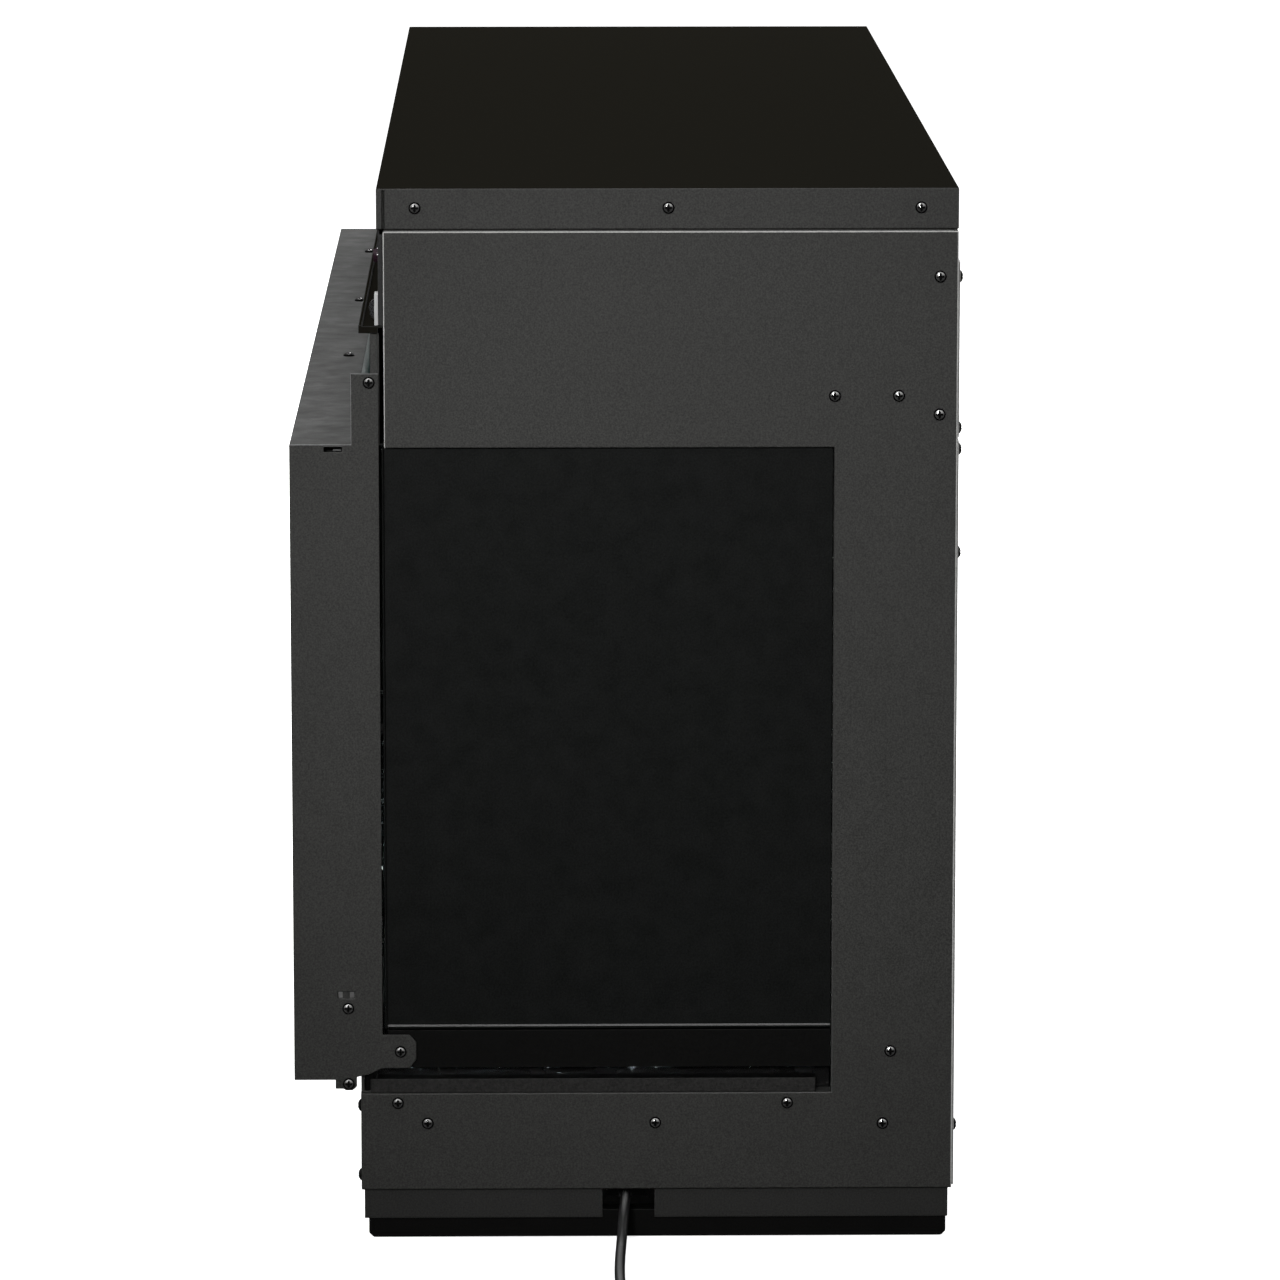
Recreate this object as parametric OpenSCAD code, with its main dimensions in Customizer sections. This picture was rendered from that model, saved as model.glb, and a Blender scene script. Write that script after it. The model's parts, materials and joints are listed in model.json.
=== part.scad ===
// Three-sided built-in linear electric fireplace, front facing -Y, +X to the right, +Z up.
// Origin: centre of the footprint, on the surface that the base rails stand on. Millimetres.

/* [Cabinet] */
// Width over the side panels
cabinet_w = 1270; // [1230:5:1300]
// Height from the floor to the top cover
cabinet_h = 713; // [708:1:720]
// Depth from the front frame's front edge to the rear panel's side flanges
total_d = 443.6; // [440:0.2:448]
// Thickness of the folded steel sheet
sheet_t = 1.2; // [1:0.1:1.3]

/* [Side window] */
// Height of the window's lower edge
window_low_z = 100.5; // [98:0.5:102]
// Height of the window's upper edge
window_high_z = 540; // [530:1:545]
// Width of the rear post beside the window
rear_post_w = 81.8; // [78:0.1:84]

/* [Front frame] */
// Depth of the frame around the glass
frame_d = 59.5; // [58:0.5:60]
// Height of the frame's lower edge
frame_low_z = 110; // [108:1:112]
// Depth of the hood plate and the sill plate
hood_d = 41; // [38:1:42]

/* [Front glass] */
// Thickness of the front glass
glass_t = 6; // [5:0.5:6]
// How far the glass lifts before it comes free
glass_lift = 20; // [14:1:24]

/* [Blower] */
// Radius of the tangential wheel
wheel_r = 30; // [24:1:32]
// Length of the tangential wheel
wheel_len = 500; // [300:20:540]
// Number of blades round the wheel
blade_count = 24; // [12:1:30]

/* [Flame effect] */
// Number of reflector blades along the flicker rod
reflector_count = 40; // [20:2:44]
// Half the width of a reflector blade
reflector_r = 19; // [12:1:20]

/* [Fasteners] */
// Diameter of a pan screw's head
head_d = 8; // [7:0.5:9]
// Height of a pan screw's head
head_h = 2.4; // [2:0.1:3]

/* [Cord] */
// Diameter of the power cord
cord_d = 7; // [6:0.5:8]

/* [Hidden] */

// Planes of the cabinet
side_x = cabinet_w / 2;
inner_x = side_x - sheet_t;
front_y = -(total_d + sheet_t + head_h) / 2;
back_y = front_y + total_d;
frame_back_y = front_y + frame_d;
lid_front_y = frame_back_y - 0.9;
band_front_y = frame_back_y + 3.5;
apron_y = front_y + 44.7;
window_back_y = back_y - rear_post_w;
rear_in_y = back_y - 2 * sheet_t;

// Levels of the cabinet
rail_top_z = 19;
skirt_low_z = 13.5;
pan_z = 33.8;
pan_top_z = pan_z + sheet_t;
band_top_z = cabinet_h - 28.8;
lid_flange_z = band_top_z + 1.4;
upstand_z = cabinet_h - 8;
ceiling_z = window_high_z + 1.4;
ceiling_top_z = ceiling_z + sheet_t;
deflector_z = 620;
deflector_top_z = deflector_z + sheet_t;
frame_top_z = 542.5;
tab_top_z = 590;

// The front glass and its channel
glass_back_y = front_y + 53.5;
glass_front_y = glass_back_y - glass_t;
glass_x = side_x - 4;
channel_floor_z = window_low_z + sheet_t;
glass_top_z = 586;

// The blower's axis and scroll
wheel_y = -40;
wheel_z = 662;
scroll_r = wheel_r + 8;
shaft_r = 4;
fit = 0.05;
housing_x = wheel_len / 2 + 12;

// The flicker rod's axis
rod_y = 175;
rod_z = 150;
rod_seat_r = 8;

// The power switch on the control panel
panel_y = frame_back_y + 0.1;
switch_x = side_x - 11.5;
switch_z = 632;
rocker_axis_y = panel_y + 1.5;
rocker_r = 7.8;
rocker_rest = 9;
button_x = [side_x - 39, side_x - 57, side_x - 75];

// The ember bed
tray_x = side_x - 15.4;
tray_front_y = glass_back_y + 2.1;
tray_back_y = window_back_y - 0.4;
media_top_z = 109;

// Screw places: [y, z] on the sides, x along the front, top and rear
side_spots = [
    [208, 654], [138.5, 574.5], [181, 574.5], [208, 562], [178, 129],
    [-154, 94], [-134, 80], [19.5, 80], [108.5, 93.5], [173, 79]
];
lid_side_y = [-139.5, 28, 195];
frame_spots = [[-170.5, 584], [-152, 129.5], [-187, 159.5], [-187, 107.5]];
even_x = [-480, -160, 160, 480];
hood_x = [-465, -140, 185];
apron_x = [-625, -310, 0, 310, 625];
apron_screw_z = [42.2, 90.3];
rear_x = [-300, 0, 300];
rear_screw_z = [76, 468];
rear_edge_x = side_x - 9;
rear_edge_z = [76, 468, 537.5, 552, 653];
cover_screw_z = [553, 655];
lid_screw_z = cabinet_h - 13;

// The cord's route, then the coil and the plug beside it
cord_floor_z = cord_d / 2 + 0.1;
cord_exit = [620, -0.5, 26];
lead_points = [
    cord_exit, [626, -0.5, 26], [632, -0.6, 26], [638, -0.8, 25.8], [644, -1.2, 24.8], [650, -1.7, 22.8],
    [656, -2.2, 19.8], [662, -2.7, 15.8], [668, -3.2, 11.6], [674, -3.7, 8], [680, -4.1, 5.6],
    [687, -4.5, 4.2], [695, -4.8, 3.7], [712, -5.3, 3.6], [732, -5.7, 3.6], [754, -5.8, 3.6],
    [778, -5.4, 3.6], [800, -4.6, 3.6], [820, -3.8, 3.6], [840, -3.5, 3.6]
];
coil_centre = [860, 42];
coil_mid_r = 38.5;
coil_turn_w = 10.5;
coil_h = 14.2;
tail_points = [
    [905.5, 62, 10.6], [905.6, 70, 10.5], [905.8, 78, 10.1], [906, 86, 9.5], [906, 94, 8.8],
    [906, 102, 8.3], [906, 110, 8.2], [906, 118, 8.5], [906, 126, 8.9], [906, 132, 9.2],
    [906, 138, 9.2]
];
plug_at = [906, 138, 9.2];

steel_colour = [0.21, 0.21, 0.205];
dark_colour = [0.05, 0.05, 0.05];
board_colour = [0.05, 0.25, 0.12];

// ---------------------------------------------------------------- helpers

// Box from its lowest corner to its highest corner
module block(low, high) {
    translate(low)
        cube(high - low);
}

// The same shape on both sides of the object
module both_sides() {
    children();
    mirror([1, 0, 0])
        children();
}

// Extrudes a [y, z] outline along +X from x0 to x1
module along_x(x0, x1) {
    translate([x0, 0, 0])
        rotate([90, 0, 90])
            linear_extrude(x1 - x0)
                children();
}

// Round bar along X
module rod_x(x0, x1, y, z, r) {
    translate([x0, y, z])
        rotate([0, 90, 0])
            cylinder(r = r, h = x1 - x0, $fn = 48);
}

// Round bar along Y
module rod_along_y(y0, y1, x, z, r) {
    translate([x, y0, z])
        rotate([-90, 0, 0])
            cylinder(r = r, h = y1 - y0, $fn = 48);
}

// Pan-head screw with a cross recess; its head stands on the plane through the origin
module pan_screw(grip) {
    difference() {
        intersection() {
            cylinder(d = head_d, h = head_h, $fn = 32);
            translate([0, 0, head_h - 0.75 * head_d])
                sphere(r = 0.75 * head_d, $fn = 48);
        }
        for (turn = [0, 90])
            rotate(turn)
                translate([-2.2, -0.45, head_h - 1.4])
                    cube([4.4, 0.9, 2]);
    }
    translate([0, 0, -grip])
        cylinder(d = 3.8, h = grip, $fn = 24);
}

module hole() {
    translate([0, 0, -14])
        cylinder(d = 4.2, h = 17, $fn = 24);
}

// Places a screw or its hole: on the right side, the left side, the front, the rear or the top
module on_right(spots) {
    for (s = spots)
        translate([side_x, s[0], s[1]])
            rotate([0, 90, 0])
                children();
}

module on_left(spots) {
    mirror([1, 0, 0])
        on_right(spots)
            children();
}

module on_front(xs, zs, y) {
    for (x = xs, z = zs)
        translate([x, y, z])
            rotate([90, 0, 0])
                children();
}

module on_rear(xs, zs, y) {
    for (x = xs, z = zs)
        translate([x, y, z])
            rotate([-90, 0, 0])
                children();
}

// ---------------------------------------------------------------- base

// Folded channel under each edge, open to the inside
module base_rails() {
    rail_y0 = apron_y + 4.8;
    rail_y1 = back_y - 3.6;
    rail_w = 15;
    rail_x = side_x - 3.2;
    chamfer = 3;
    color(dark_colour) {
        both_sides()
            difference() {
                along_x(rail_x - rail_w, rail_x)
                    polygon([
                        [rail_y0 + chamfer, 0], [rail_y1 - chamfer, 0], [rail_y1, chamfer],
                        [rail_y1, rail_top_z], [rail_y0, rail_top_z], [rail_y0, chamfer]
                    ]);
                block([rail_x - rail_w - 1, rail_y0 + 2, 2], [rail_x - 2, rail_y1 - 2, rail_top_z - 2]);
            }
        for (y = [rail_y0, rail_y1 - rail_w])
            difference() {
                block([-rail_x + rail_w + 0.2, y, 0], [rail_x - rail_w - 0.2, y + rail_w, rail_top_z]);
                block(
                    [-side_x, y == rail_y0 ? y + 2 : y - 1, 2],
                    [side_x, y == rail_y0 ? y + rail_w + 1 : y + rail_w - 2, rail_top_z - 2]
                );
            }
    }
}

// Skirt strips between the rails and the cabinet; the right one leaves a notch for the cord
module base_skirt() {
    skirt_x = side_x - 2;
    skirt_y0 = apron_y + 2;
    skirt_y1 = back_y - 2.4;
    notch_y = [-16, 19];
    color(steel_colour) {
        block([skirt_x - sheet_t, skirt_y0, skirt_low_z], [skirt_x, notch_y[0], pan_z]);
        block([skirt_x - sheet_t, notch_y[1], skirt_low_z], [skirt_x, skirt_y1, pan_z]);
        block([-skirt_x, skirt_y0, skirt_low_z], [-skirt_x + sheet_t, skirt_y1, pan_z]);
        for (y = [skirt_y0, skirt_y1 - sheet_t])
            block([-skirt_x + 1.4, y, skirt_low_z], [skirt_x - 1.4, y + sheet_t, pan_z]);
    }
}

// Deep floor pan that carries the cabinet, with the cord gland's tab below it
module base_pan() {
    pan_x = inner_x - 0.2;
    pan_y0 = apron_y + sheet_t;
    flange_z = 98;
    color(steel_colour)
        difference() {
            union() {
                block([-pan_x, pan_y0, pan_z], [pan_x, rear_in_y, pan_top_z]);
                block([-pan_x, pan_y0, pan_z], [pan_x, pan_y0 + sheet_t, flange_z]);
                block([-pan_x, rear_in_y - sheet_t, pan_z], [pan_x, rear_in_y, flange_z]);
                both_sides() {
                    block([pan_x - sheet_t, pan_y0, pan_z], [pan_x, rear_in_y, flange_z]);
                    block([pan_x - sheet_t, 165, flange_z], [pan_x, 190, 140]);
                }
                block([584.8, -14, 16], [586, 16, pan_z]);
            }
            on_right(side_spots)
                hole();
            on_left(side_spots)
                hole();
            on_front(apron_x, apron_screw_z, apron_y)
                hole();
            on_rear(rear_x, [rear_screw_z[0]], back_y - sheet_t)
                hole();
            on_rear([-rear_edge_x, rear_edge_x], [rear_edge_z[0]], back_y)
                hole();
            rod_x(580, 590, cord_exit[1], cord_exit[2], 4.5);
        }
}

// ---------------------------------------------------------------- cabinet skins

// C-shaped side panel round the window, its edges folded inwards
module side_panel() {
    fold = 12;
    color(steel_colour)
        difference() {
            union() {
                along_x(inner_x, side_x)
                    polygon([
                        [apron_y, pan_z], [back_y, pan_z], [back_y, band_top_z],
                        [band_front_y, band_top_z], [band_front_y, window_high_z],
                        [window_back_y, window_high_z], [window_back_y, window_low_z],
                        [apron_y, window_low_z]
                    ]);
                block(
                    [side_x - 30, glass_back_y + 2, window_low_z - sheet_t],
                    [inner_x, window_back_y + sheet_t, window_low_z]
                );
                block(
                    [inner_x - fold, window_back_y, window_low_z - sheet_t],
                    [inner_x, window_back_y + sheet_t, window_high_z + sheet_t]
                );
                block(
                    [inner_x - fold, band_front_y, window_high_z],
                    [inner_x, window_back_y + sheet_t, window_high_z + sheet_t]
                );
                block([inner_x - 2.6, band_front_y, window_high_z], [inner_x, band_front_y + sheet_t, band_top_z]);
                block([inner_x - 15, back_y - sheet_t, pan_z], [inner_x, back_y, band_top_z]);
                block([inner_x - 1.4, band_front_y, band_top_z - sheet_t], [inner_x, rear_in_y - 0.2, band_top_z]);
                block([inner_x - 1.4, band_front_y, band_top_z - sheet_t], [inner_x - 0.2, rear_in_y - 0.2, upstand_z]);
            }
            on_right(side_spots)
                hole();
            on_right([for (y = lid_side_y) [y, lid_screw_z]])
                hole();
            on_rear([rear_edge_x], rear_edge_z, back_y)
                hole();
        }
}

// Blanking panel that closes a side window, with a pressed lip at its foot and front
module side_filler() {
    outer_x = side_x - 3.4;
    low_z = 144.8;
    color([0.07, 0.075, 0.075]) {
        block([outer_x - sheet_t, band_front_y + 0.4, low_z], [outer_x, window_back_y - 0.4, window_high_z - 0.4]);
        block([outer_x - 1, band_front_y + 0.4, low_z], [outer_x + 1.2, window_back_y - 0.4, low_z + 2]);
        block([outer_x - sheet_t, band_front_y - 1.6, low_z], [side_x - 0.6, band_front_y - 0.4, window_high_z - 0.4]);
        block([outer_x - sheet_t, band_front_y - 1.6, low_z], [outer_x, band_front_y + 1, window_high_z - 0.4]);
        block([outer_x - 12, band_front_y + 0.4, low_z], [outer_x - 0.5, window_back_y - 0.4, low_z + sheet_t]);
    }
}

// Dark closing strip under the blanking panel
module side_strip() {
    outer_x = side_x - 2.6;
    color([0.03, 0.03, 0.03])
        difference() {
            union() {
                block([outer_x - sheet_t, band_front_y, 117.6], [outer_x, window_back_y - 0.4, 143.6]);
                block([outer_x - 10, band_front_y, 142.4], [outer_x, window_back_y - 0.4, 143.6]);
            }
            on_right(frame_spots)
                hole();
        }
}

// Wrinkle-painted sill at the foot of the side window
module tray_sill() {
    color([0.15, 0.14, 0.13]) {
        block([side_x - 15, glass_back_y + 2, window_low_z], [side_x - 1.4, window_back_y - 10.5, 110.4]);
        block([side_x - 3.4, glass_back_y - 2.3, window_low_z], [side_x - 1.4, glass_back_y + 3, 110.4]);
    }
}

// Rear wall, vented behind the upper cover, its side edges folded forwards
module rear_panel() {
    panel_x = inner_x - 0.2;
    slot_pitch = 36;
    color([0.17, 0.17, 0.17])
        difference() {
            union() {
                block([-panel_x, rear_in_y, pan_top_z], [panel_x, back_y - sheet_t, upstand_z]);
                both_sides()
                    block([panel_x - sheet_t, 196, 142], [panel_x, rear_in_y, band_top_z - sheet_t - 0.2]);
            }
            for (i = [-13 : 13])
                block([i * slot_pitch - 3, rear_in_y - 1, 580], [i * slot_pitch + 3, back_y, 640]);
            on_right(side_spots)
                hole();
            on_left(side_spots)
                hole();
            on_rear(rear_x, concat(rear_screw_z, cover_screw_z), back_y)
                hole();
            on_rear([-rear_edge_x, rear_edge_x], rear_edge_z, back_y)
                hole();
            on_rear(even_x, [lid_screw_z], back_y - sheet_t)
                hole();
        }
}

// Rear skin, vented over the rear openings, with a notch in each edge where its two lengths meet
module rear_cover() {
    skin_x = side_x - 0.8;
    vent_x = 605;
    low_z = 546.5;
    high_z = 664;
    color([0.17, 0.17, 0.17])
        difference() {
            union() {
                block([-skin_x, back_y, pan_z + 2], [skin_x, back_y + sheet_t, high_z]);
                block([-vent_x, back_y - sheet_t, low_z], [vent_x, back_y + sheet_t, high_z]);
            }
            for (low_x = [-593, -285, 5, 295])
                block([low_x, back_y - 2, low_z + 13.5], [low_x + 280, back_y, high_z - 14]);
            for (i = [-15 : 15])
                for (z = [572, 612])
                    block([i * 36 - 14, back_y - 2, z], [i * 36 + 14, back_y + 3, z + 4]);
            both_sides()
                block([skin_x - 12, back_y - 1, low_z - 2], [skin_x + 1, back_y + 3, low_z]);
            on_rear(rear_x, concat(rear_screw_z, cover_screw_z), back_y + sheet_t)
                hole();
            on_rear([-rear_edge_x, rear_edge_x], rear_edge_z, back_y + sheet_t)
                hole();
        }
}

// Front wall below the glass
module front_apron() {
    apron_x_half = inner_x - 0.2;
    color(steel_colour)
        difference() {
            union() {
                block([-apron_x_half, apron_y, pan_z], [apron_x_half, apron_y + sheet_t, window_low_z]);
                block(
                    [-apron_x_half, apron_y, window_low_z - sheet_t],
                    [apron_x_half, glass_back_y + 1.8, window_low_z]
                );
            }
            on_front(apron_x, apron_screw_z, apron_y)
                hole();
        }
}

// Lid with a flange on each edge
module top_cover() {
    color([0.11, 0.105, 0.095])
        difference() {
            block([-side_x, lid_front_y, lid_flange_z], [side_x, back_y, cabinet_h]);
            block(
                [-inner_x, lid_front_y + sheet_t, lid_flange_z - 1],
                [inner_x, back_y - sheet_t, cabinet_h - sheet_t]
            );
            both_sides()
                block(
                    [side_x - 0.5, band_front_y - 0.2, lid_flange_z - 1],
                    [side_x + 1, band_front_y + 0.7, cabinet_h - 1.6]
                );
            on_right([for (y = lid_side_y) [y, lid_screw_z]])
                hole();
            on_left([for (y = lid_side_y) [y, lid_screw_z]])
                hole();
            on_front(even_x, [lid_screw_z], lid_front_y)
                hole();
            on_rear(even_x, [lid_screw_z], back_y)
                hole();
        }
}

// Shelf between the firebox and the heater space, with upturned side edges
module firebox_ceiling() {
    shelf_x = inner_x - 0.2;
    color([0.09, 0.09, 0.09])
        difference() {
            union() {
                block([-shelf_x + 2.8, glass_back_y + 6.6, ceiling_z], [shelf_x - 2.8, rear_in_y - 0.2, ceiling_top_z]);
                block([-shelf_x, band_front_y + 1.4, ceiling_z], [shelf_x, 190, ceiling_top_z]);
                both_sides()
                    block([shelf_x - sheet_t, band_front_y + 1.6, ceiling_z], [shelf_x, 190, tab_top_z]);
            }
            on_right(side_spots)
                hole();
            on_left(side_spots)
                hole();
        }
}

// Header behind the top of the glass, with the rail that the glass leans on
module header_panel() {
    rail_y0 = glass_back_y + 0.3;
    plate_y0 = glass_back_y + 5.4;
    color(steel_colour)
        difference() {
            union() {
                block([-inner_x + 1.4, plate_y0, ceiling_z], [inner_x - 1.4, plate_y0 + sheet_t, deflector_z - 3.6]);
                block([-glass_x, rail_y0, 572], [glass_x, plate_y0, deflector_z - 4]);
                both_sides() {
                    block([inner_x - 1.4, glass_back_y + 0.4, 562], [inner_x - 0.2, plate_y0 + sheet_t, tab_top_z - 0.5]);
                    block([inner_x - 2, plate_y0, 562], [inner_x - 0.2, plate_y0 + sheet_t, tab_top_z - 0.5]);
                }
            }
            on_right(frame_spots)
                hole();
            on_left(frame_spots)
                hole();
        }
}

// Ledge under the heat outlet that keeps warm air off the glass
module heat_deflector() {
    half_w = side_x - 2.5;
    ledge_y0 = apron_y + 1.7;
    color([0.10, 0.095, 0.09]) {
        block([-half_w, ledge_y0, deflector_z], [half_w, band_front_y - 0.3, deflector_top_z]);
        block([-half_w + 4, band_front_y - 1, deflector_z], [half_w - 4, -150, deflector_top_z]);
        block([-half_w, ledge_y0, deflector_z - 3.5], [half_w, ledge_y0 + 2 * sheet_t, deflector_z + 2]);
        both_sides()
            block([half_w - sheet_t, ledge_y0, deflector_z - 3.5], [half_w, panel_y - 0.2, deflector_z + 0.5]);
    }
}

// Louvred grille across the heat outlet, with a flange behind the lid's front edge
module outlet_grille() {
    left_x = -side_x + 4.2;
    right_x = side_x - 90.6;
    low_z = deflector_top_z + 0.2;
    high_z = lid_flange_z - 0.4;
    blade_gap = 11;
    color([0.08, 0.08, 0.08])
        difference() {
            union() {
                for (z = [low_z, high_z - 3])
                    block([left_x, panel_y, z], [right_x, panel_y + 6, z + 3]);
                for (i = [0 : 6]) {
                    x = left_x + i * (right_x - left_x - 3) / 6;
                    block([x, panel_y, low_z], [x + 3, panel_y + 6, high_z]);
                }
                for (i = [1 : 5])
                    translate([left_x, panel_y + 3, low_z + i * blade_gap])
                        rotate([25, 0, 0])
                            translate([0, -2.7, -0.6])
                                cube([right_x - left_x, 5.4, 1.2]);
                block([left_x, lid_front_y + sheet_t, high_z - 2], [right_x, lid_front_y + 2 * sheet_t, upstand_z]);
            }
            on_front(even_x, [lid_screw_z], lid_front_y)
                hole();
        }
}

// ---------------------------------------------------------------- front frame and glass

// Side of the deep frame, with a tab at the top and a tab at the foot that reach back
module frame_side() {
    tab_front_y = front_y + 41;
    slot_y = front_y + 23;
    color(steel_colour)
        difference() {
            along_x(inner_x, side_x)
                polygon([
                    [front_y, frame_low_z], [-192, frame_low_z], [-192, 105], [-189, 102.8],
                    [-184.5, 102.8], [-181.5, 105.5], [-181.5, frame_low_z + 2],
                    [-174, 113.5], [frame_back_y, 118], [-146, 118], [-141.4, 124],
                    [-141.4, 136], [-146, 141], [frame_back_y, 141],
                    [frame_back_y, tab_top_z], [tab_front_y, tab_top_z],
                    [tab_front_y, frame_top_z], [front_y, frame_top_z]
                ]);
            block([inner_x - 1, slot_y, 537.5], [side_x + 1, slot_y + 12, 541]);
            block([inner_x - 1, slot_y + 6.5, 166], [side_x + 1, slot_y + 18, 171]);
            on_right(frame_spots)
                hole();
        }
}

// Top plate of the frame, with a lip at the front and the back and a tab in each side's slot
module frame_hood() {
    back_edge_y = front_y + hood_d;
    half_w = inner_x - 0.2;
    color([0.34, 0.345, 0.34])
        difference() {
            union() {
                block([-half_w, front_y, frame_top_z - sheet_t], [half_w, back_edge_y, frame_top_z]);
                block([-half_w, front_y, 530], [half_w, front_y + sheet_t, frame_top_z]);
                block([-half_w, back_edge_y - sheet_t, 532], [half_w, back_edge_y, frame_top_z]);
                both_sides() {
                    block([half_w - 12, front_y + 29, 538], [half_w + 0.8, front_y + 34.6, 539.2]);
                    block([half_w - 12, front_y + 8, 522], [half_w - 10.8, back_edge_y, frame_top_z]);
                }
            }
            for (x = hood_x)
                translate([x, front_y + 28, frame_top_z])
                    hole();
        }
}

// Bottom plate of the frame, with an upturned ear behind each side
module frame_sill() {
    slot_y = front_y + 29.5;
    back_edge_y = front_y + hood_d;
    half_w = inner_x - 0.2;
    color(steel_colour)
        difference() {
            union() {
                block([-half_w, front_y, frame_low_z], [half_w, back_edge_y, frame_low_z + sheet_t]);
                block([-half_w, front_y, frame_low_z], [half_w, front_y + sheet_t, frame_low_z + 12]);
                block([-half_w, back_edge_y - sheet_t, frame_low_z], [half_w, back_edge_y, frame_low_z + 9]);
                both_sides()
                    block([half_w - sheet_t, -196, 103.5], [half_w, back_edge_y, 176]);
            }
            for (y = [slot_y + 0.4, slot_y + 8.1])
                block([-side_x, y, 166.5], [side_x, y + 3, 170.5]);
            on_right(frame_spots)
                hole();
            on_left(frame_spots)
                hole();
        }
}

// Channel that the foot of the glass stands in
module glass_channel() {
    half_w = glass_x + 0.4;
    wall_z = 113;
    color([0.45, 0.45, 0.45]) {
        block([-half_w, apron_y + 0.2, window_low_z], [half_w, glass_back_y + 1.8, channel_floor_z]);
        block([-half_w, apron_y + 0.2, window_low_z], [half_w, glass_front_y - 0.6, wall_z]);
        block(
            [-side_x + 15.6, glass_back_y + 0.6, window_low_z],
            [side_x - 15.6, glass_back_y + 1.8, wall_z]
        );
    }
}

module front_glass() {
    color([0.55, 0.7, 0.68, 0.35])
        block([-glass_x, glass_front_y, channel_floor_z], [glass_x, glass_back_y, glass_top_z]);
}

// ---------------------------------------------------------------- heater

// Outline of the scroll from the outlet's floor round the back of the wheel
function scroll_wall(r) = [
    for (a = [-90 : 10 : 40])
        [wheel_y + r * cos(a), wheel_z + r * sin(a)]
];

function reversed(list) = [for (i = [len(list) - 1 : -1 : 0]) list[i]];

// Duct of the blower: floor and scroll, top sheet and two end plates
module blower_housing() {
    outlet_y = panel_y + 9;
    top_front_z = 684;
    plate_x = housing_x + sheet_t;
    outer_r = scroll_r + sheet_t;
    color([0.6, 0.62, 0.62])
        difference() {
            union() {
                along_x(-plate_x, plate_x)
                    polygon(concat(
                        [[outlet_y, wheel_z - scroll_r], [outlet_y, wheel_z - outer_r]],
                        scroll_wall(outer_r),
                        reversed(scroll_wall(scroll_r))
                    ));
                along_x(-plate_x, plate_x)
                    polygon([
                        [outlet_y, top_front_z], [wheel_y - 28, wheel_z + 33],
                        [wheel_y - 22, wheel_z + 27], [wheel_y - 20, wheel_z + 28],
                        [wheel_y - 26, wheel_z + 34.6], [outlet_y, top_front_z + sheet_t]
                    ]);
                for (x = [-plate_x, housing_x])
                    along_x(x, x + sheet_t)
                        polygon(concat(
                            [[outlet_y, wheel_z - outer_r]],
                            scroll_wall(outer_r),
                            [[wheel_y + 20, 700], [wheel_y - 26, 700], [outlet_y, top_front_z + sheet_t]]
                        ));
            }
            rod_x(-side_x, side_x, wheel_y, wheel_z, shaft_r + 2);
        }
}

// Tangential wheel: discs, a ring of blades and the shaft through them
module blower_wheel() {
    half = wheel_len / 2;
    color([0.55, 0.57, 0.58]) {
        for (x = [-half, -half / 3, half / 3, half - 1.5])
            rod_x(x, x + 1.5, wheel_y, wheel_z, wheel_r);
        for (i = [0 : blade_count - 1])
            translate([-half, wheel_y, wheel_z])
                rotate([i * 360 / blade_count, 0, 0])
                    translate([0, wheel_r - 6.2, 0])
                        rotate([25, 0, 0])
                            translate([0, 0, -0.4])
                                cube([wheel_len, 6, 0.8]);
        rod_x(-half - 28, half + 46, wheel_y, wheel_z, shaft_r);
    }
}

// Shaded-pole style motor on three posts
module blower_motor() {
    x0 = housing_x + sheet_t;
    color([0.3, 0.3, 0.32])
        difference() {
            union() {
                rod_x(x0 + 12, x0 + 60, wheel_y, wheel_z, 32);
                for (a = [30, 150, 270])
                    rod_x(x0, x0 + 13, wheel_y + 24 * cos(a), wheel_z + 24 * sin(a), 3);
                rod_x(x0 + 60, x0 + 66, wheel_y, wheel_z, 14);
            }
            rod_x(x0 - 1, x0 + 40, wheel_y, wheel_z, shaft_r + fit);
        }
}

module blower_bearing() {
    x0 = -housing_x - sheet_t;
    color([0.12, 0.12, 0.12])
        difference() {
            union() {
                rod_x(x0 - 4, x0, wheel_y, wheel_z, 16);
                rod_x(x0 - 14, x0 - 4, wheel_y, wheel_z, 10);
            }
            rod_x(x0 - 15, x0 + 1, wheel_y, wheel_z, shaft_r + fit);
        }
}

// Finned heating element across the outlet duct
module heater_element() {
    half = housing_x;
    y0 = -118;
    low_z = wheel_z - scroll_r + 4;
    color([0.7, 0.7, 0.68]) {
        for (z = [low_z, low_z + 24, low_z + 48])
            block([-half, y0, z], [half, y0 + 14, z + 4]);
        for (i = [0 : 40]) {
            x = -half + 2 + i * (2 * half - 5) / 40;
            block([x, y0 + 1, low_z], [x + 1, y0 + 13, low_z + 50]);
        }
        for (x = [-half, half - 3])
            block([x, y0 - 1, low_z], [x + 3, y0 + 15, low_z + 52]);
    }
}

// Snap-action temperature cut-out on the end of the duct
module thermal_cutout() {
    x0 = -housing_x - sheet_t;
    color([0.8, 0.75, 0.6]) {
        rod_x(x0 - 5, x0, -105, 655, 8);
        for (z = [651, 658])
            block([x0 - 12, -106, z], [x0 - 5, -104, z + 1]);
    }
}

// ---------------------------------------------------------------- controls

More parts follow.
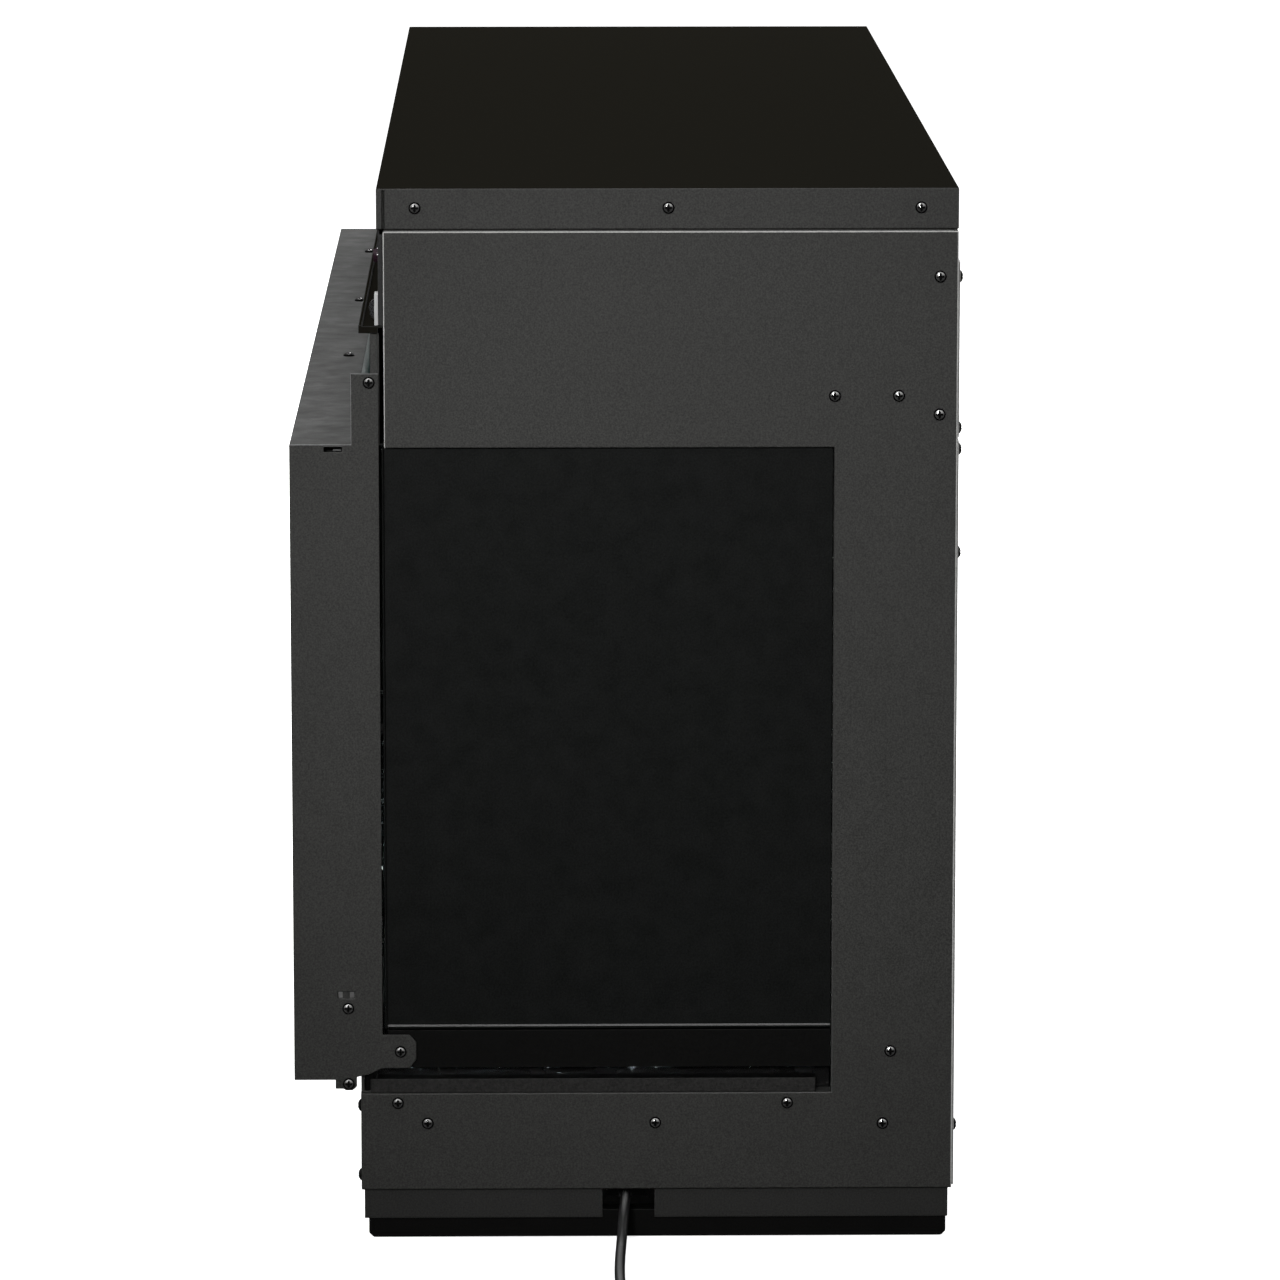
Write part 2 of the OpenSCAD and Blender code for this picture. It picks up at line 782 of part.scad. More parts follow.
// Plate at the right end of the outlet that carries the switch, the buttons and the receiver
module control_panel() {
    left_x = side_x - 89.6;
    right_x = side_x - 3;
    color([0.1, 0.1, 0.1])
        difference() {
            union() {
                block([left_x, panel_y, deflector_top_z + 0.2], [right_x, panel_y + sheet_t, lid_flange_z - 0.2]);
                block(
                    [right_x - sheet_t, panel_y, deflector_top_z + 0.2],
                    [right_x, band_front_y - 0.3, band_top_z - 2]
                );
            }
            block([switch_x - 6.6, panel_y - 1, switch_z - 9.6], [switch_x + 6.6, panel_y + 2, switch_z + 9.6]);
            for (x = button_x)
                rod_along_y(panel_y - 1, panel_y + 2, x, switch_z, 4.7);
            rod_along_y(panel_y - 1, panel_y + 2, button_x[1], 662, 5.2);
        }
}

// Body and bezel of the rocker switch
module switch_body() {
    color([0.75, 0.75, 0.75])
        difference() {
            union() {
                block([switch_x - 7.5, panel_y - 2.5, switch_z - 10.5], [switch_x + 7.5, panel_y, switch_z + 10.5]);
                block([switch_x - 6.5, panel_y - 1, switch_z - 9.5], [switch_x + 6.5, panel_y + 15, switch_z + 9.5]);
                for (x = [-4, 0, 4])
                    block([switch_x + x - 0.4, panel_y + 14, switch_z - 3], [switch_x + x + 0.4, panel_y + 22, switch_z + 3]);
            }
            rod_x(switch_x - 4.9, switch_x + 4.9, rocker_axis_y, switch_z, rocker_r + 0.3);
            rod_x(switch_x - 6, switch_x + 6, rocker_axis_y, switch_z, 1.2 + fit);
            block([switch_x - 4.9, panel_y - 4, switch_z - 8.1], [switch_x + 4.9, rocker_axis_y, switch_z + 8.1]);
        }
}

// Rocker with two shallow faces, drawn tipped to its off position
module power_rocker() {
    color([0.05, 0.05, 0.05])
        translate([switch_x, rocker_axis_y, switch_z])
            rotate([rocker_rest, 0, 0]) {
                difference() {
                    rod_x(-4.6, 4.6, 0, 0, rocker_r);
                    for (side = [-1, 1])
                        translate([0, -rocker_r + 0.8, 0])
                            rotate([side * 20, 0, 0])
                                translate([-6, -10, side > 0 ? 0 : -20])
                                    cube([12, 10, 20]);
                    block([-6, 4, -10], [6, 12, 10]);
                }
                rod_x(-5.8, 5.8, 0, 0, 1.2);
            }
}

module push_button(x) {
    color([0.1, 0.1, 0.1]) {
        rod_along_y(panel_y - 2, panel_y + 8, x, switch_z, 4.5);
        rod_along_y(panel_y + sheet_t + 0.3, panel_y + sheet_t + 1.3, x, switch_z, 6);
    }
}

// Small board behind the buttons, with one contact switch for each
module button_board() {
    y0 = panel_y + 12;
    color(board_colour) {
        block([side_x - 86, y0, switch_z - 9], [side_x - 28, y0 + 1.6, switch_z + 9]);
        for (x = button_x)
            block([x - 3, y0 - 2.2, switch_z - 3], [x + 3, y0, switch_z + 3]);
        for (x = [side_x - 84, side_x - 30])
            rod_along_y(panel_y + sheet_t, y0, x, switch_z + 6, 1.6);
    }
}

module remote_receiver() {
    color([0.25, 0.02, 0.02]) {
        rod_along_y(panel_y - 1, panel_y + 8, button_x[1], 662, 5);
        translate([button_x[1], panel_y - 1, 662])
            intersection() {
                sphere(r = 5, $fn = 48);
                translate([-6, -3, -6])
                    cube([12, 3.5, 12]);
            }
        rod_along_y(panel_y + sheet_t, panel_y + 4, button_x[1], 662, 7);
    }
}

// Main board on four posts, with relays, a transformer, capacitors and connectors
module control_board() {
    x0 = 370;
    y0 = 20;
    board_z = 562;
    color(board_colour) {
        block([x0, y0, board_z], [x0 + 190, y0 + 130, board_z + 1.6]);
        for (x = [x0 + 6, x0 + 184], y = [y0 + 6, y0 + 124])
            translate([x, y, ceiling_top_z])
                cylinder(r = 3, h = board_z - ceiling_top_z + 0.5, $fn = 24);
        for (i = [0 : 2])
            block([x0 + 20 + i * 34, y0 + 92, board_z + 1], [x0 + 46 + i * 34, y0 + 112, board_z + 18]);
        block([x0 + 130, y0 + 70, board_z + 1], [x0 + 174, y0 + 112, board_z + 34]);
        for (i = [0 : 3])
            translate([x0 + 30 + i * 24, y0 + 60, board_z + 1])
                cylinder(r = 6, h = 20, $fn = 32);
        for (i = [0 : 5])
            block([x0 + 14 + i * 26, y0 + 8, board_z + 1], [x0 + 34 + i * 26, y0 + 18, board_z + 13]);
    }
}

module led_driver() {
    color([0.7, 0.7, 0.7])
        block([370, 162, ceiling_top_z], [540, 204, ceiling_top_z + 30]);
}

module terminal_block() {
    color([0.85, 0.83, 0.75])
        difference() {
            block([574, 40, ceiling_top_z], [598, 100, ceiling_top_z + 18]);
            for (i = [0 : 4])
                translate([586, 48 + i * 11, ceiling_top_z + 8])
                    cylinder(r = 3, h = 12, $fn = 24);
        }
}

// Bar of lamps under the ceiling, shining down on the ember bed
module downlight_bar() {
    color([0.5, 0.5, 0.5]) {
        block([-580, -152, ceiling_z - 5], [580, -136, ceiling_z]);
        for (i = [-11 : 11])
            block([i * 50 - 2.5, -146.5, ceiling_z - 6.5], [i * 50 + 2.5, -141.5, ceiling_z - 4]);
    }
}

// ---------------------------------------------------------------- flame effect

module flame_screen() {
    color([0.1, 0.1, 0.11])
        block(
            [-inner_x + 0.4, window_back_y + sheet_t + 0.2, window_low_z + 0.5],
            [inner_x - 0.4, window_back_y + sheet_t + 3.2, ceiling_z - 0.2]
        );
}

// Rod with thin reflector blades, each turned a little further than the last
module flicker_rod() {
    pitch = 28;
    color([0.8, 0.8, 0.82]) {
        rod_x(-606, 606, rod_y, rod_z, shaft_r);
        for (i = [0 : reflector_count - 1]) {
            x = (i - (reflector_count - 1) / 2) * pitch;
            translate([x, rod_y, rod_z])
                rotate([i * 50, 0, 0])
                    translate([-6, -reflector_r, -0.4])
                        cube([12, 2 * reflector_r, 0.8]);
        }
    }
}

module flicker_motor() {
    color([0.72, 0.72, 0.7])
        difference() {
            union() {
                rod_x(593.5, 612, rod_y, rod_z, 24);
                rod_x(612, 618, rod_y, rod_z, 12);
            }
            rod_x(590, 608, rod_y, rod_z, shaft_r + fit);
        }
}

module rod_bearings() {
    color([0.85, 0.85, 0.8])
        for (x = [-600, 0])
            difference() {
                rod_x(x - 5, x + 5, rod_y, rod_z, rod_seat_r);
                rod_x(x - 6, x + 6, rod_y, rod_z, shaft_r + fit);
            }
}

// Upright plates on the floor pan that hold the bearings and the flicker motor
module rod_brackets() {
    color([0.6, 0.6, 0.6]) {
        for (x = [-600, 0])
            difference() {
                block([x - 0.8, rod_y - 14, pan_top_z], [x + 0.8, rod_y + 14, rod_z + 16]);
                rod_x(x - 2, x + 2, rod_y, rod_z, rod_seat_r + fit);
            }
        difference() {
            block([591.9, rod_y - 26, pan_top_z], [593.5, rod_y + 26, rod_z + 26]);
            rod_x(590, 595, rod_y, rod_z, shaft_r + 2);
        }
        for (x = [-600, 0, 592.7])
            block([x - 12, rod_y - 14, pan_top_z], [x + 12, rod_y + 14, pan_top_z + 1.6]);
    }
}

// Lamp bar behind the flicker rod
module flame_light_bar() {
    bar_y = rear_in_y - 10;
    color([0.75, 0.75, 0.75]) {
        block([-585, bar_y, 112], [585, rear_in_y, 128]);
        for (i = [-19 : 19])
            block([i * 30 - 2.5, bar_y - 1.5, 117.5], [i * 30 + 2.5, bar_y + 1, 122.5]);
    }
}

// ---------------------------------------------------------------- ember bed

module ember_tray() {
    wall = 2;
    color([0.6, 0.62, 0.65])
        difference() {
            block([-tray_x, tray_front_y, window_low_z], [tray_x, tray_back_y, 114]);
            block(
                [-tray_x + wall, tray_front_y + wall, window_low_z + 3],
                [tray_x - wall, tray_back_y - wall, 120]
            );
        }
}

// Lamp bar under the translucent tray, on three legs
module ember_light_bar() {
    color([0.75, 0.75, 0.75]) {
        block([-580, -40, 82], [580, -20, 88]);
        for (i = [-19 : 19])
            block([i * 30 - 2.5, -32.5, 87], [i * 30 + 2.5, -27.5, 90]);
        for (x = [-540, 0, 540])
            translate([x, -30, pan_top_z])
                cylinder(r = 5, h = 82.5 - pan_top_z, $fn = 32);
    }
}

// Bed of loose clear crystals, as a low slab with tilted stones in its surface
module ember_media() {
    stone = 5;
    color([0.75, 0.8, 0.85]) {
        block([-tray_x + 2, tray_front_y + 2, window_low_z + 3], [tray_x - 2, tray_back_y - 2, media_top_z]);
        for (i = [0 : 15], j = [0 : 3])
            translate([
                -562.5 + i * 75 + 14 * sin(97 * i + 61 * j),
                -120 + j * 74 + 12 * cos(83 * i + 47 * j),
                media_top_z - 1
            ])
                rotate([35, 25, 40 * (i + j)])
                    cube(stone, center = true);
    }
}

// One piece of driftwood: two tapered lengths that meet at a round knee
module driftwood(at, turn, bend, r0, r1, len0, len1) {
    translate(at)
        rotate([0, 0, turn]) {
            sphere(r = r1, $fn = 32);
            rotate([0, -90, 0])
                cylinder(r1 = r1, r2 = r0, h = len0, $fn = 32);
            rotate([0, 90 - bend[1], bend[0]])
                cylinder(r1 = r1, r2 = 0.6 * r0, h = len1, $fn = 32);
        }
}

module log_set() {
    low = media_top_z + 3.5;
    color([0.45, 0.36, 0.28]) {
        driftwood([-330, -30, low + 18], 8, [-25, 0], 15, 18, 150, 130);
        driftwood([-80, 30, low + 20], -14, [30, 0], 17, 20, 170, 140);
        driftwood([210, -50, low + 17], 18, [-35, 0], 14, 17, 130, 150);
        driftwood([420, 40, low + 19], -10, [25, 0], 16, 19, 120, 110);
        driftwood([40, -95, low + 13], 4, [15, 0], 10, 13, 110, 90);
        driftwood([-470, 70, low + 15], 30, [-30, 0], 12, 15, 90, 80);
    }
}

// ---------------------------------------------------------------- fasteners

module side_screws() {
    spots = concat(side_spots, [for (y = lid_side_y) [y, lid_screw_z]]);
    color([0.06, 0.06, 0.06]) {
        on_right(spots)
            pan_screw(5);
        on_left(spots)
            pan_screw(5);
    }
}

module frame_screws() {
    color([0.06, 0.06, 0.06]) {
        on_right(frame_spots)
            pan_screw(3.4);
        on_left(frame_spots)
            pan_screw(3.4);
        for (x = hood_x)
            translate([x, front_y + 28, frame_top_z])
                pan_screw(5);
    }
}

module cover_screws() {
    color([0.06, 0.06, 0.06]) {
        on_front(even_x, [lid_screw_z], lid_front_y)
            pan_screw(6);
        on_rear(even_x, [lid_screw_z], back_y)
            pan_screw(5);
        on_front(apron_x, apron_screw_z, apron_y)
            pan_screw(5);
        on_rear(rear_x, concat(rear_screw_z, cover_screw_z), back_y + sheet_t)
            pan_screw(6);
        on_rear([-rear_edge_x, rear_edge_x], rear_edge_z, back_y + sheet_t)
            pan_screw(6);
    }
}

// ---------------------------------------------------------------- cord

// Gland on the pan's tab, with a long tapered sleeve towards the cord
module strain_relief() {
    color([0.04, 0.04, 0.04])
        translate([576, cord_exit[1], cord_exit[2]])
            rotate([0, 90, 0]) {
                cylinder(r = 6.5, h = 8.8, $fn = 48);
                cylinder(r = 4.4, h = 12, $fn = 48);
                translate([0, 0, 10])
                    cylinder(r = 6.5, h = 5, $fn = 48);
                translate([0, 0, 15])
                    cylinder(r1 = 6, r2 = cord_d / 2 + 0.7, h = 29, $fn = 48);
            }
}

function unit(v) = v / norm(v);

// Direction of the route at point i
function heading(points, i) = unit(points[min(i + 1, len(points) - 1)] - points[max(i - 1, 0)]);

// Ring of points round the route, square to its heading
function ring(points, i, sides, r) =
    let (
        along = heading(points, i),
        across = unit(cross([0, 0, 1], along)),
        up = cross(along, across)
    )
    [for (k = [0 : sides - 1]) points[i] + r * (across * cos(360 * k / sides) + up * sin(360 * k / sides))];

// Closed tube of one polyhedron along a route
module tube(points, r, sides) {
    n = len(points);
    rings = [for (i = [0 : n - 1]) each ring(points, i, sides, r)];
    walls = [
        for (i = [0 : n - 2], k = [0 : sides - 1])
            let (a = i * sides + k, b = i * sides + (k + 1) % sides)
            [a, a + sides, b + sides, b]
    ];
    start_cap = [for (k = [0 : sides - 1]) k];
    end_cap = [for (k = [sides - 1 : -1 : 0]) (n - 1) * sides + k];
    polyhedron(rings, concat(walls, [start_cap], [end_cap]), convexity = 6);
}

module cord() {
    color([0.08, 0.08, 0.08]) {
        tube(lead_points, cord_d / 2, 10);
        tube(tail_points, cord_d / 2, 10);
    }
}

// Outer shape of the coiled length
module cord_coil() {
    corner = 4;
    color([0.08, 0.08, 0.08])
        translate([coil_centre[0], coil_centre[1], 0.1])
            rotate_extrude($fn = 96)
                translate([coil_mid_r - coil_turn_w, 0])
                    polygon([
                        [corner, 0], [2 * coil_turn_w - corner, 0], [2 * coil_turn_w, corner],
                        [2 * coil_turn_w, coil_h - corner], [2 * coil_turn_w - corner, coil_h],
                        [corner, coil_h], [0, coil_h - corner], [0, corner]
                    ]);
}

// Moulded three-pin plug lying on its flat side, its pins along +Y
module plug() {
    translate(plug_at)
        rotate([-90, 0, 0])
            color([0.07, 0.07, 0.07]) {
                cylinder(r1 = 4.6, r2 = 7, h = 22, $fn = 48);
                translate([-13, -9, 20])
                    cube([26, 18, 22]);
                for (x = [-7.2, 5.6])
                    translate([x, -3.2, 40])
                        cube([1.6, 6.4, 18]);
                translate([0, 6, 40])
                    cylinder(r = 2.4, h = 20, $fn = 32);
            }
}

base_rails();
base_skirt();
base_pan();
side_panel();  // side_panel_right
mirror([1, 0, 0]) side_panel();  // side_panel_left
side_filler();  // side_filler_right
mirror([1, 0, 0]) side_filler();  // side_filler_left
side_strip();  // side_strip_right
mirror([1, 0, 0]) side_strip();  // side_strip_left
tray_sill();  // tray_sill_right
mirror([1, 0, 0]) tray_sill();  // tray_sill_left
rear_panel();
rear_cover();
front_apron();
top_cover();
firebox_ceiling();
header_panel();
heat_deflector();
outlet_grille();
frame_side();  // frame_side_right
mirror([1, 0, 0]) frame_side();  // frame_side_left
frame_hood();
frame_sill();
glass_channel();
front_glass();
blower_housing();
blower_wheel();
blower_motor();
blower_bearing();
heater_element();
thermal_cutout();
control_panel();
switch_body();
power_rocker();
push_button(button_x[0]);  // flame_button
push_button(button_x[1]);  // heat_button
push_button(button_x[2]);  // light_button
button_board();
remote_receiver();
control_board();
led_driver();
terminal_block();
downlight_bar();
flame_screen();
flicker_rod();
flicker_motor();
rod_bearings();
rod_brackets();
flame_light_bar();
ember_tray();
ember_light_bar();
ember_media();
log_set();
side_screws();
frame_screws();
cover_screws();
strain_relief();
cord();
cord_coil();
plug();
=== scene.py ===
"""Looks of the built-in electric fireplace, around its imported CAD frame. Metres; front -Y, +Z up."""

import json
import math
import random

import bmesh
import bpy
from mathutils import Matrix, Vector, noise


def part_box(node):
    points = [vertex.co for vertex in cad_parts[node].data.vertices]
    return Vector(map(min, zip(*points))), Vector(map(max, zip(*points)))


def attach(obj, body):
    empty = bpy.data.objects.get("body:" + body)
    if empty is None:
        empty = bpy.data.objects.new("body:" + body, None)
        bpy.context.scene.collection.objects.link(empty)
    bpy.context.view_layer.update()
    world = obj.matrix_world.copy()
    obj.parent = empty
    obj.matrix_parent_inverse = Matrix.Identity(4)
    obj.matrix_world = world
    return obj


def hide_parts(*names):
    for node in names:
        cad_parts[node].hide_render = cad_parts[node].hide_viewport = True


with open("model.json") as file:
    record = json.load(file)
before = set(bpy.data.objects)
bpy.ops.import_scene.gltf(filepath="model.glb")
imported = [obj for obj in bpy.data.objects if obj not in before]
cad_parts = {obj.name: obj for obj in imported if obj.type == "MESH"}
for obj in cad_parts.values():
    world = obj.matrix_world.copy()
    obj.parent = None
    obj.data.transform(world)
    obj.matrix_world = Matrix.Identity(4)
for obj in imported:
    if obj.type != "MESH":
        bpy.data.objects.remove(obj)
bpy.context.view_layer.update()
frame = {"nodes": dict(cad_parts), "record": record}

scene = bpy.context.scene
bodies = frame["record"]["behaviour"]["bodies"]
body_of = {node: body for body, members in bodies.items() for node in members}
slot_of = {part["node"]: part["material_slot"] for part in frame["record"]["subparts"]}
random.seed(7)

MM = 0.001
WELD = 0.002 * MM  # corners of a CAD mesh that are closer than this are one
FLAT = 0.9999  # a normal's largest part, above which its face lies square to an axis

# ------------------------------------------------------------------ camera


def make_camera():
    """A long lens beside the right end, looking slightly down on the cabinet."""
    data = bpy.data.cameras.new("camera")
    data.lens = 193.6
    data.sensor_width = 36
    camera = bpy.data.objects.new("camera", data)
    camera.location = (5.157, -0.061, 1.199)
    pitch, yaw = 9.89, -0.89
    camera.rotation_euler = [math.radians(a) for a in (90 - pitch, 0, 90 + yaw)]
    scene.collection.objects.link(camera)
    scene.camera = camera


make_camera()

# ------------------------------------------------------------------ node helpers


def new_material(name):
    """An empty material with a Principled shader, its nodes and its links."""
    material = bpy.data.materials.new(name)
    material.use_nodes = True
    nodes = material.node_tree.nodes
    return material, nodes, material.node_tree.links, nodes["Principled BSDF"]


def set_sockets(shader, **values):
    """Sets inputs of a shader by name; an underscore stands for a space."""
    for name, value in values.items():
        shader.inputs[name.replace("_", " ")].default_value = value


def object_coordinates(nodes):
    return nodes.new("ShaderNodeTexCoord").outputs["Object"]


def noise_field(nodes, links, scale, detail=2.0, rough=0.5, stretch=None):
    """Fac of a noise texture in object space, stretched along an axis if asked."""
    field = nodes.new("ShaderNodeTexNoise")
    field.inputs["Scale"].default_value = scale
    field.inputs["Detail"].default_value = detail
    field.inputs["Roughness"].default_value = rough
    source = object_coordinates(nodes)
    if stretch:
        mapping = nodes.new("ShaderNodeMapping")
        mapping.inputs["Scale"].default_value = stretch
        links.new(source, mapping.inputs["Vector"])
        source = mapping.outputs["Vector"]
    links.new(source, field.inputs["Vector"])
    return field.outputs["Fac"]


def cell_field(nodes, links, scale, output="Distance"):
    """An output of a Voronoi texture in object space."""
    field = nodes.new("ShaderNodeTexVoronoi")
    field.inputs["Scale"].default_value = scale
    links.new(object_coordinates(nodes), field.inputs["Vector"])
    return field.outputs[output]


def ramp(nodes, links, source, stops):
    """Colour ramp through (place, colour) stops."""
    node = nodes.new("ShaderNodeValToRGB")
    elements = node.color_ramp.elements
    while len(elements) < len(stops):
        elements.new(0.5)
    for element, (place, colour) in zip(elements, stops):
        element.position = place
        element.color = (*colour[:3], 1)
    links.new(source, node.inputs["Fac"])
    return node.outputs["Color"]


def map_range(nodes, links, source, from_min, from_max, to_min=0.0, to_max=1.0):
    """Maps one range of a value onto another and stops at its ends."""
    node = nodes.new("ShaderNodeMapRange")
    limits = {"From Min": from_min, "From Max": from_max, "To Min": to_min, "To Max": to_max}
    for name, value in limits.items():
        node.inputs[name].default_value = value
    links.new(source, node.inputs["Value"])
    return node.outputs["Result"]


def spread(nodes, links, source, low, high):
    """Maps the usual range of a noise field, 0.3 to 0.7, onto low to high."""
    return map_range(nodes, links, source, 0.3, 0.7, low, high)


def math_node(nodes, links, operation, *operands):
    """Result of a maths node; each operand is a number or a socket."""
    node = nodes.new("ShaderNodeMath")
    node.operation = operation
    for socket, value in zip(node.inputs, operands):
        if isinstance(value, (int, float)):
            socket.default_value = value
        else:
            links.new(value, socket)
    return node.outputs[0]


def split_axes(nodes, links, vector):
    """The X, Y and Z outputs of a vector."""
    split = nodes.new("ShaderNodeSeparateXYZ")
    links.new(vector, split.inputs[0])
    return split.outputs


def blend_colours(nodes, links, fac, a, b, mode="MIX"):
    """Colour mix; each of fac, a and b is a number or a socket."""
    node = nodes.new("ShaderNodeMix")
    node.data_type = "RGBA"
    node.blend_type = mode
    for socket, value in (("Factor", fac), ("A", a), ("B", b)):
        places = [s for s in node.inputs if s.name == socket and s.enabled]
        if isinstance(value, (int, float)):
            places[0].default_value = value
        else:
            links.new(value, places[0])
    return [s for s in node.outputs if s.enabled][0]


def bump(nodes, links, shader, height, strength, distance, chain=None):
    """Gives a shader a bumped normal, on top of the normal in chain if there is one."""
    node = nodes.new("ShaderNodeBump")
    node.inputs["Strength"].default_value = strength
    node.inputs["Distance"].default_value = distance
    links.new(height, node.inputs["Height"])
    if chain is not None:
        links.new(chain, node.inputs["Normal"])
    links.new(node.outputs["Normal"], shader.inputs["Normal"])
    return node.outputs["Normal"]


def shades(colour, *factors):
    """The colour times each factor."""
    return [tuple(min(1.0, c * f) for c in colour) for f in factors]


# ------------------------------------------------------------------ materials


def powder_coat(name, colour, rough=0.5, grain=0.5, peel=0.2, specular=0.35, mottled=0.06):
    """Baked powder paint: fine speckle, slow mottling and an orange-peel surface."""
    material, nodes, links, shader = new_material(name)
    set_sockets(shader, Specular_IOR_Level=specular)
    fine = noise_field(nodes, links, 850, 2.5, 0.65)
    broad = noise_field(nodes, links, 7, 3.0, 0.55)
    dark, light = shades(colour, 1 - grain, 1 + grain)
    speckle = ramp(nodes, links, fine, [(0.33, dark), (0.67, light)])
    mottle = ramp(nodes, links, broad, [(0.35, (1 - mottled,) * 3), (0.65, (1.0,) * 3)])
    links.new(blend_colours(nodes, links, 1.0, speckle, mottle, "MULTIPLY"), shader.inputs["Base Color"])
    links.new(spread(nodes, links, noise_field(nodes, links, 60, 4.0), rough - 0.05, rough + 0.07),
              shader.inputs["Roughness"])
    bump(nodes, links, shader, noise_field(nodes, links, 420, 1.5), peel, 0.0002)
    return material


def wrinkle_paint(name, colour):
    """Coarse textured paint."""
    material, nodes, links, shader = new_material(name)
    set_sockets(shader, Specular_IOR_Level=0.3)
    coarse = noise_field(nodes, links, 520, 3.0, 0.7)
    dark, light = shades(colour, 0.55, 1.5)
    links.new(ramp(nodes, links, coarse, [(0.36, dark), (0.64, light)]), shader.inputs["Base Color"])
    links.new(spread(nodes, links, coarse, 0.8, 0.6), shader.inputs["Roughness"])
    bump(nodes, links, shader, coarse, 0.8, 0.0006)
    return material


def galvanised(name, colour, rough=0.42):
    """Zinc-coated sheet with its spangle."""
    material, nodes, links, shader = new_material(name)
    set_sockets(shader, Metallic=1.0)
    flakes = cell_field(nodes, links, 160, "Color")
    dark, light = shades(colour, 0.78, 1.08)
    links.new(ramp(nodes, links, flakes, [(0.2, dark), (0.8, light)]), shader.inputs["Base Color"])
    links.new(spread(nodes, links, noise_field(nodes, links, 90, 4.0), rough - 0.1, rough + 0.1),
              shader.inputs["Roughness"])
    bump(nodes, links, shader, noise_field(nodes, links, 300, 3.0), 0.12, 0.0002)
    return material


def drawn_metal(name, colour, rough=0.3, stretch=(1, 30, 30)):
    """Rolled or drawn metal with fine lines along one axis."""
    material, nodes, links, shader = new_material(name)
    set_sockets(shader, Metallic=1.0)
    lines = noise_field(nodes, links, 60, 4.0, 0.6, stretch)
    dark, light = shades(colour, 0.8, 1.08)
    links.new(ramp(nodes, links, lines, [(0.35, dark), (0.65, light)]), shader.inputs["Base Color"])
    links.new(spread(nodes, links, lines, rough - 0.06, rough + 0.08), shader.inputs["Roughness"])
    bump(nodes, links, shader, lines, 0.15, 0.0001)
    return material


def moulded(name, colour, rough=0.45, grain=0.08, specular=0.4, peel=0.2):
    """Moulded plastic, rubber or ceramic with a fine spark-eroded texture."""
    material, nodes, links, shader = new_material(name)
    set_sockets(shader, Specular_IOR_Level=specular)
    fine = noise_field(nodes, links, 1800, 2.0, 0.6)
    dark, light = shades(colour, 1 - grain, 1 + grain)
    links.new(ramp(nodes, links, noise_field(nodes, links, 45, 4.0), [(0.35, dark), (0.65, light)]),
              shader.inputs["Base Color"])
    links.new(spread(nodes, links, fine, rough - 0.05, rough + 0.08), shader.inputs["Roughness"])
    bump(nodes, links, shader, fine, peel, 0.0001)
    return material


def cord_jacket(name, colour, light):
    """Soft cord jacket, with a paler painted highlight along its top."""
    material, nodes, links, shader = new_material(name)
    set_sockets(shader, Specular_IOR_Level=0.6)
    upward = split_axes(nodes, links, nodes.new("ShaderNodeNewGeometry").outputs["Normal"])["Z"]
    # Painted highlight: the colour turns paler where the surface faces up.
    painted_highlight = ramp(nodes, links, upward, [(0.0, colour), (0.8, colour), (0.99, light)])
    scuffs = noise_field(nodes, links, 400, 3.0)
    worn = ramp(nodes, links, scuffs, [(0.3, (0.75,) * 3), (0.7, (1.0,) * 3)])
    links.new(blend_colours(nodes, links, 1.0, painted_highlight, worn, "MULTIPLY"), shader.inputs["Base Color"])
    links.new(spread(nodes, links, noise_field(nodes, links, 900, 2.0), 0.28, 0.4),
              shader.inputs["Roughness"])
    bump(nodes, links, shader, noise_field(nodes, links, 1500, 2.0), 0.1, 0.0001)
    return material


def pane(name, colour, rough=0.0, ior=1.46):
    """Tinted clear glass or plastic with faint dust in its roughness."""
    material, nodes, links, shader = new_material(name)
    set_sockets(shader, Base_Color=(*colour, 1), Transmission_Weight=1.0, IOR=ior)
    links.new(spread(nodes, links, noise_field(nodes, links, 35, 5.0), rough, rough + 0.03),
              shader.inputs["Roughness"])
    bump(nodes, links, shader, noise_field(nodes, links, 4, 1.0), 0.02, 0.0005)
    return material


def circuit_board(name, colour):
    """Solder resist with paler tracks under it."""
    material, nodes, links, shader = new_material(name)
    set_sockets(shader, Specular_IOR_Level=0.5)
    tracks = nodes.new("ShaderNodeTexBrick")
    tracks.inputs["Scale"].default_value = 120
    tracks.inputs["Color1"].default_value = (*colour, 1)
    tracks.inputs["Color2"].default_value = (*shades(colour, 0.8)[0], 1)
    tracks.inputs["Mortar"].default_value = (*shades(colour, 1.7)[0], 1)
    links.new(object_coordinates(nodes), tracks.inputs["Vector"])
    links.new(tracks.outputs["Color"], shader.inputs["Base Color"])
    links.new(spread(nodes, links, noise_field(nodes, links, 200, 3.0), 0.25, 0.45),
              shader.inputs["Roughness"])
    bump(nodes, links, shader, tracks.outputs["Fac"], 0.2, 0.0001)
    return material


def driftwood(name, colour):
    """Weathered wood with grain along each piece and dark checks."""
    material, nodes, links, shader = new_material(name)
    set_sockets(shader, Specular_IOR_Level=0.2)
    grain = noise_field(nodes, links, 26, 8.0, 0.65, (1, 7, 7))
    checks = noise_field(nodes, links, 45, 3.0, 0.7, (0.6, 6, 6))
    deep, dark, light = shades(colour, 0.25, 0.7, 1.35)
    wood = ramp(nodes, links, grain, [(0.3, dark), (0.7, light)])
    cracks = ramp(nodes, links, checks, [(0.34, deep), (0.44, (1, 1, 1))])
    links.new(blend_colours(nodes, links, 1.0, wood, cracks, "MULTIPLY"), shader.inputs["Base Color"])
    links.new(spread(nodes, links, grain, 0.75, 0.95), shader.inputs["Roughness"])
    chain = bump(nodes, links, shader, grain, 0.6, 0.0015)
    bump(nodes, links, shader, checks, 0.7, 0.002, chain)
    return material


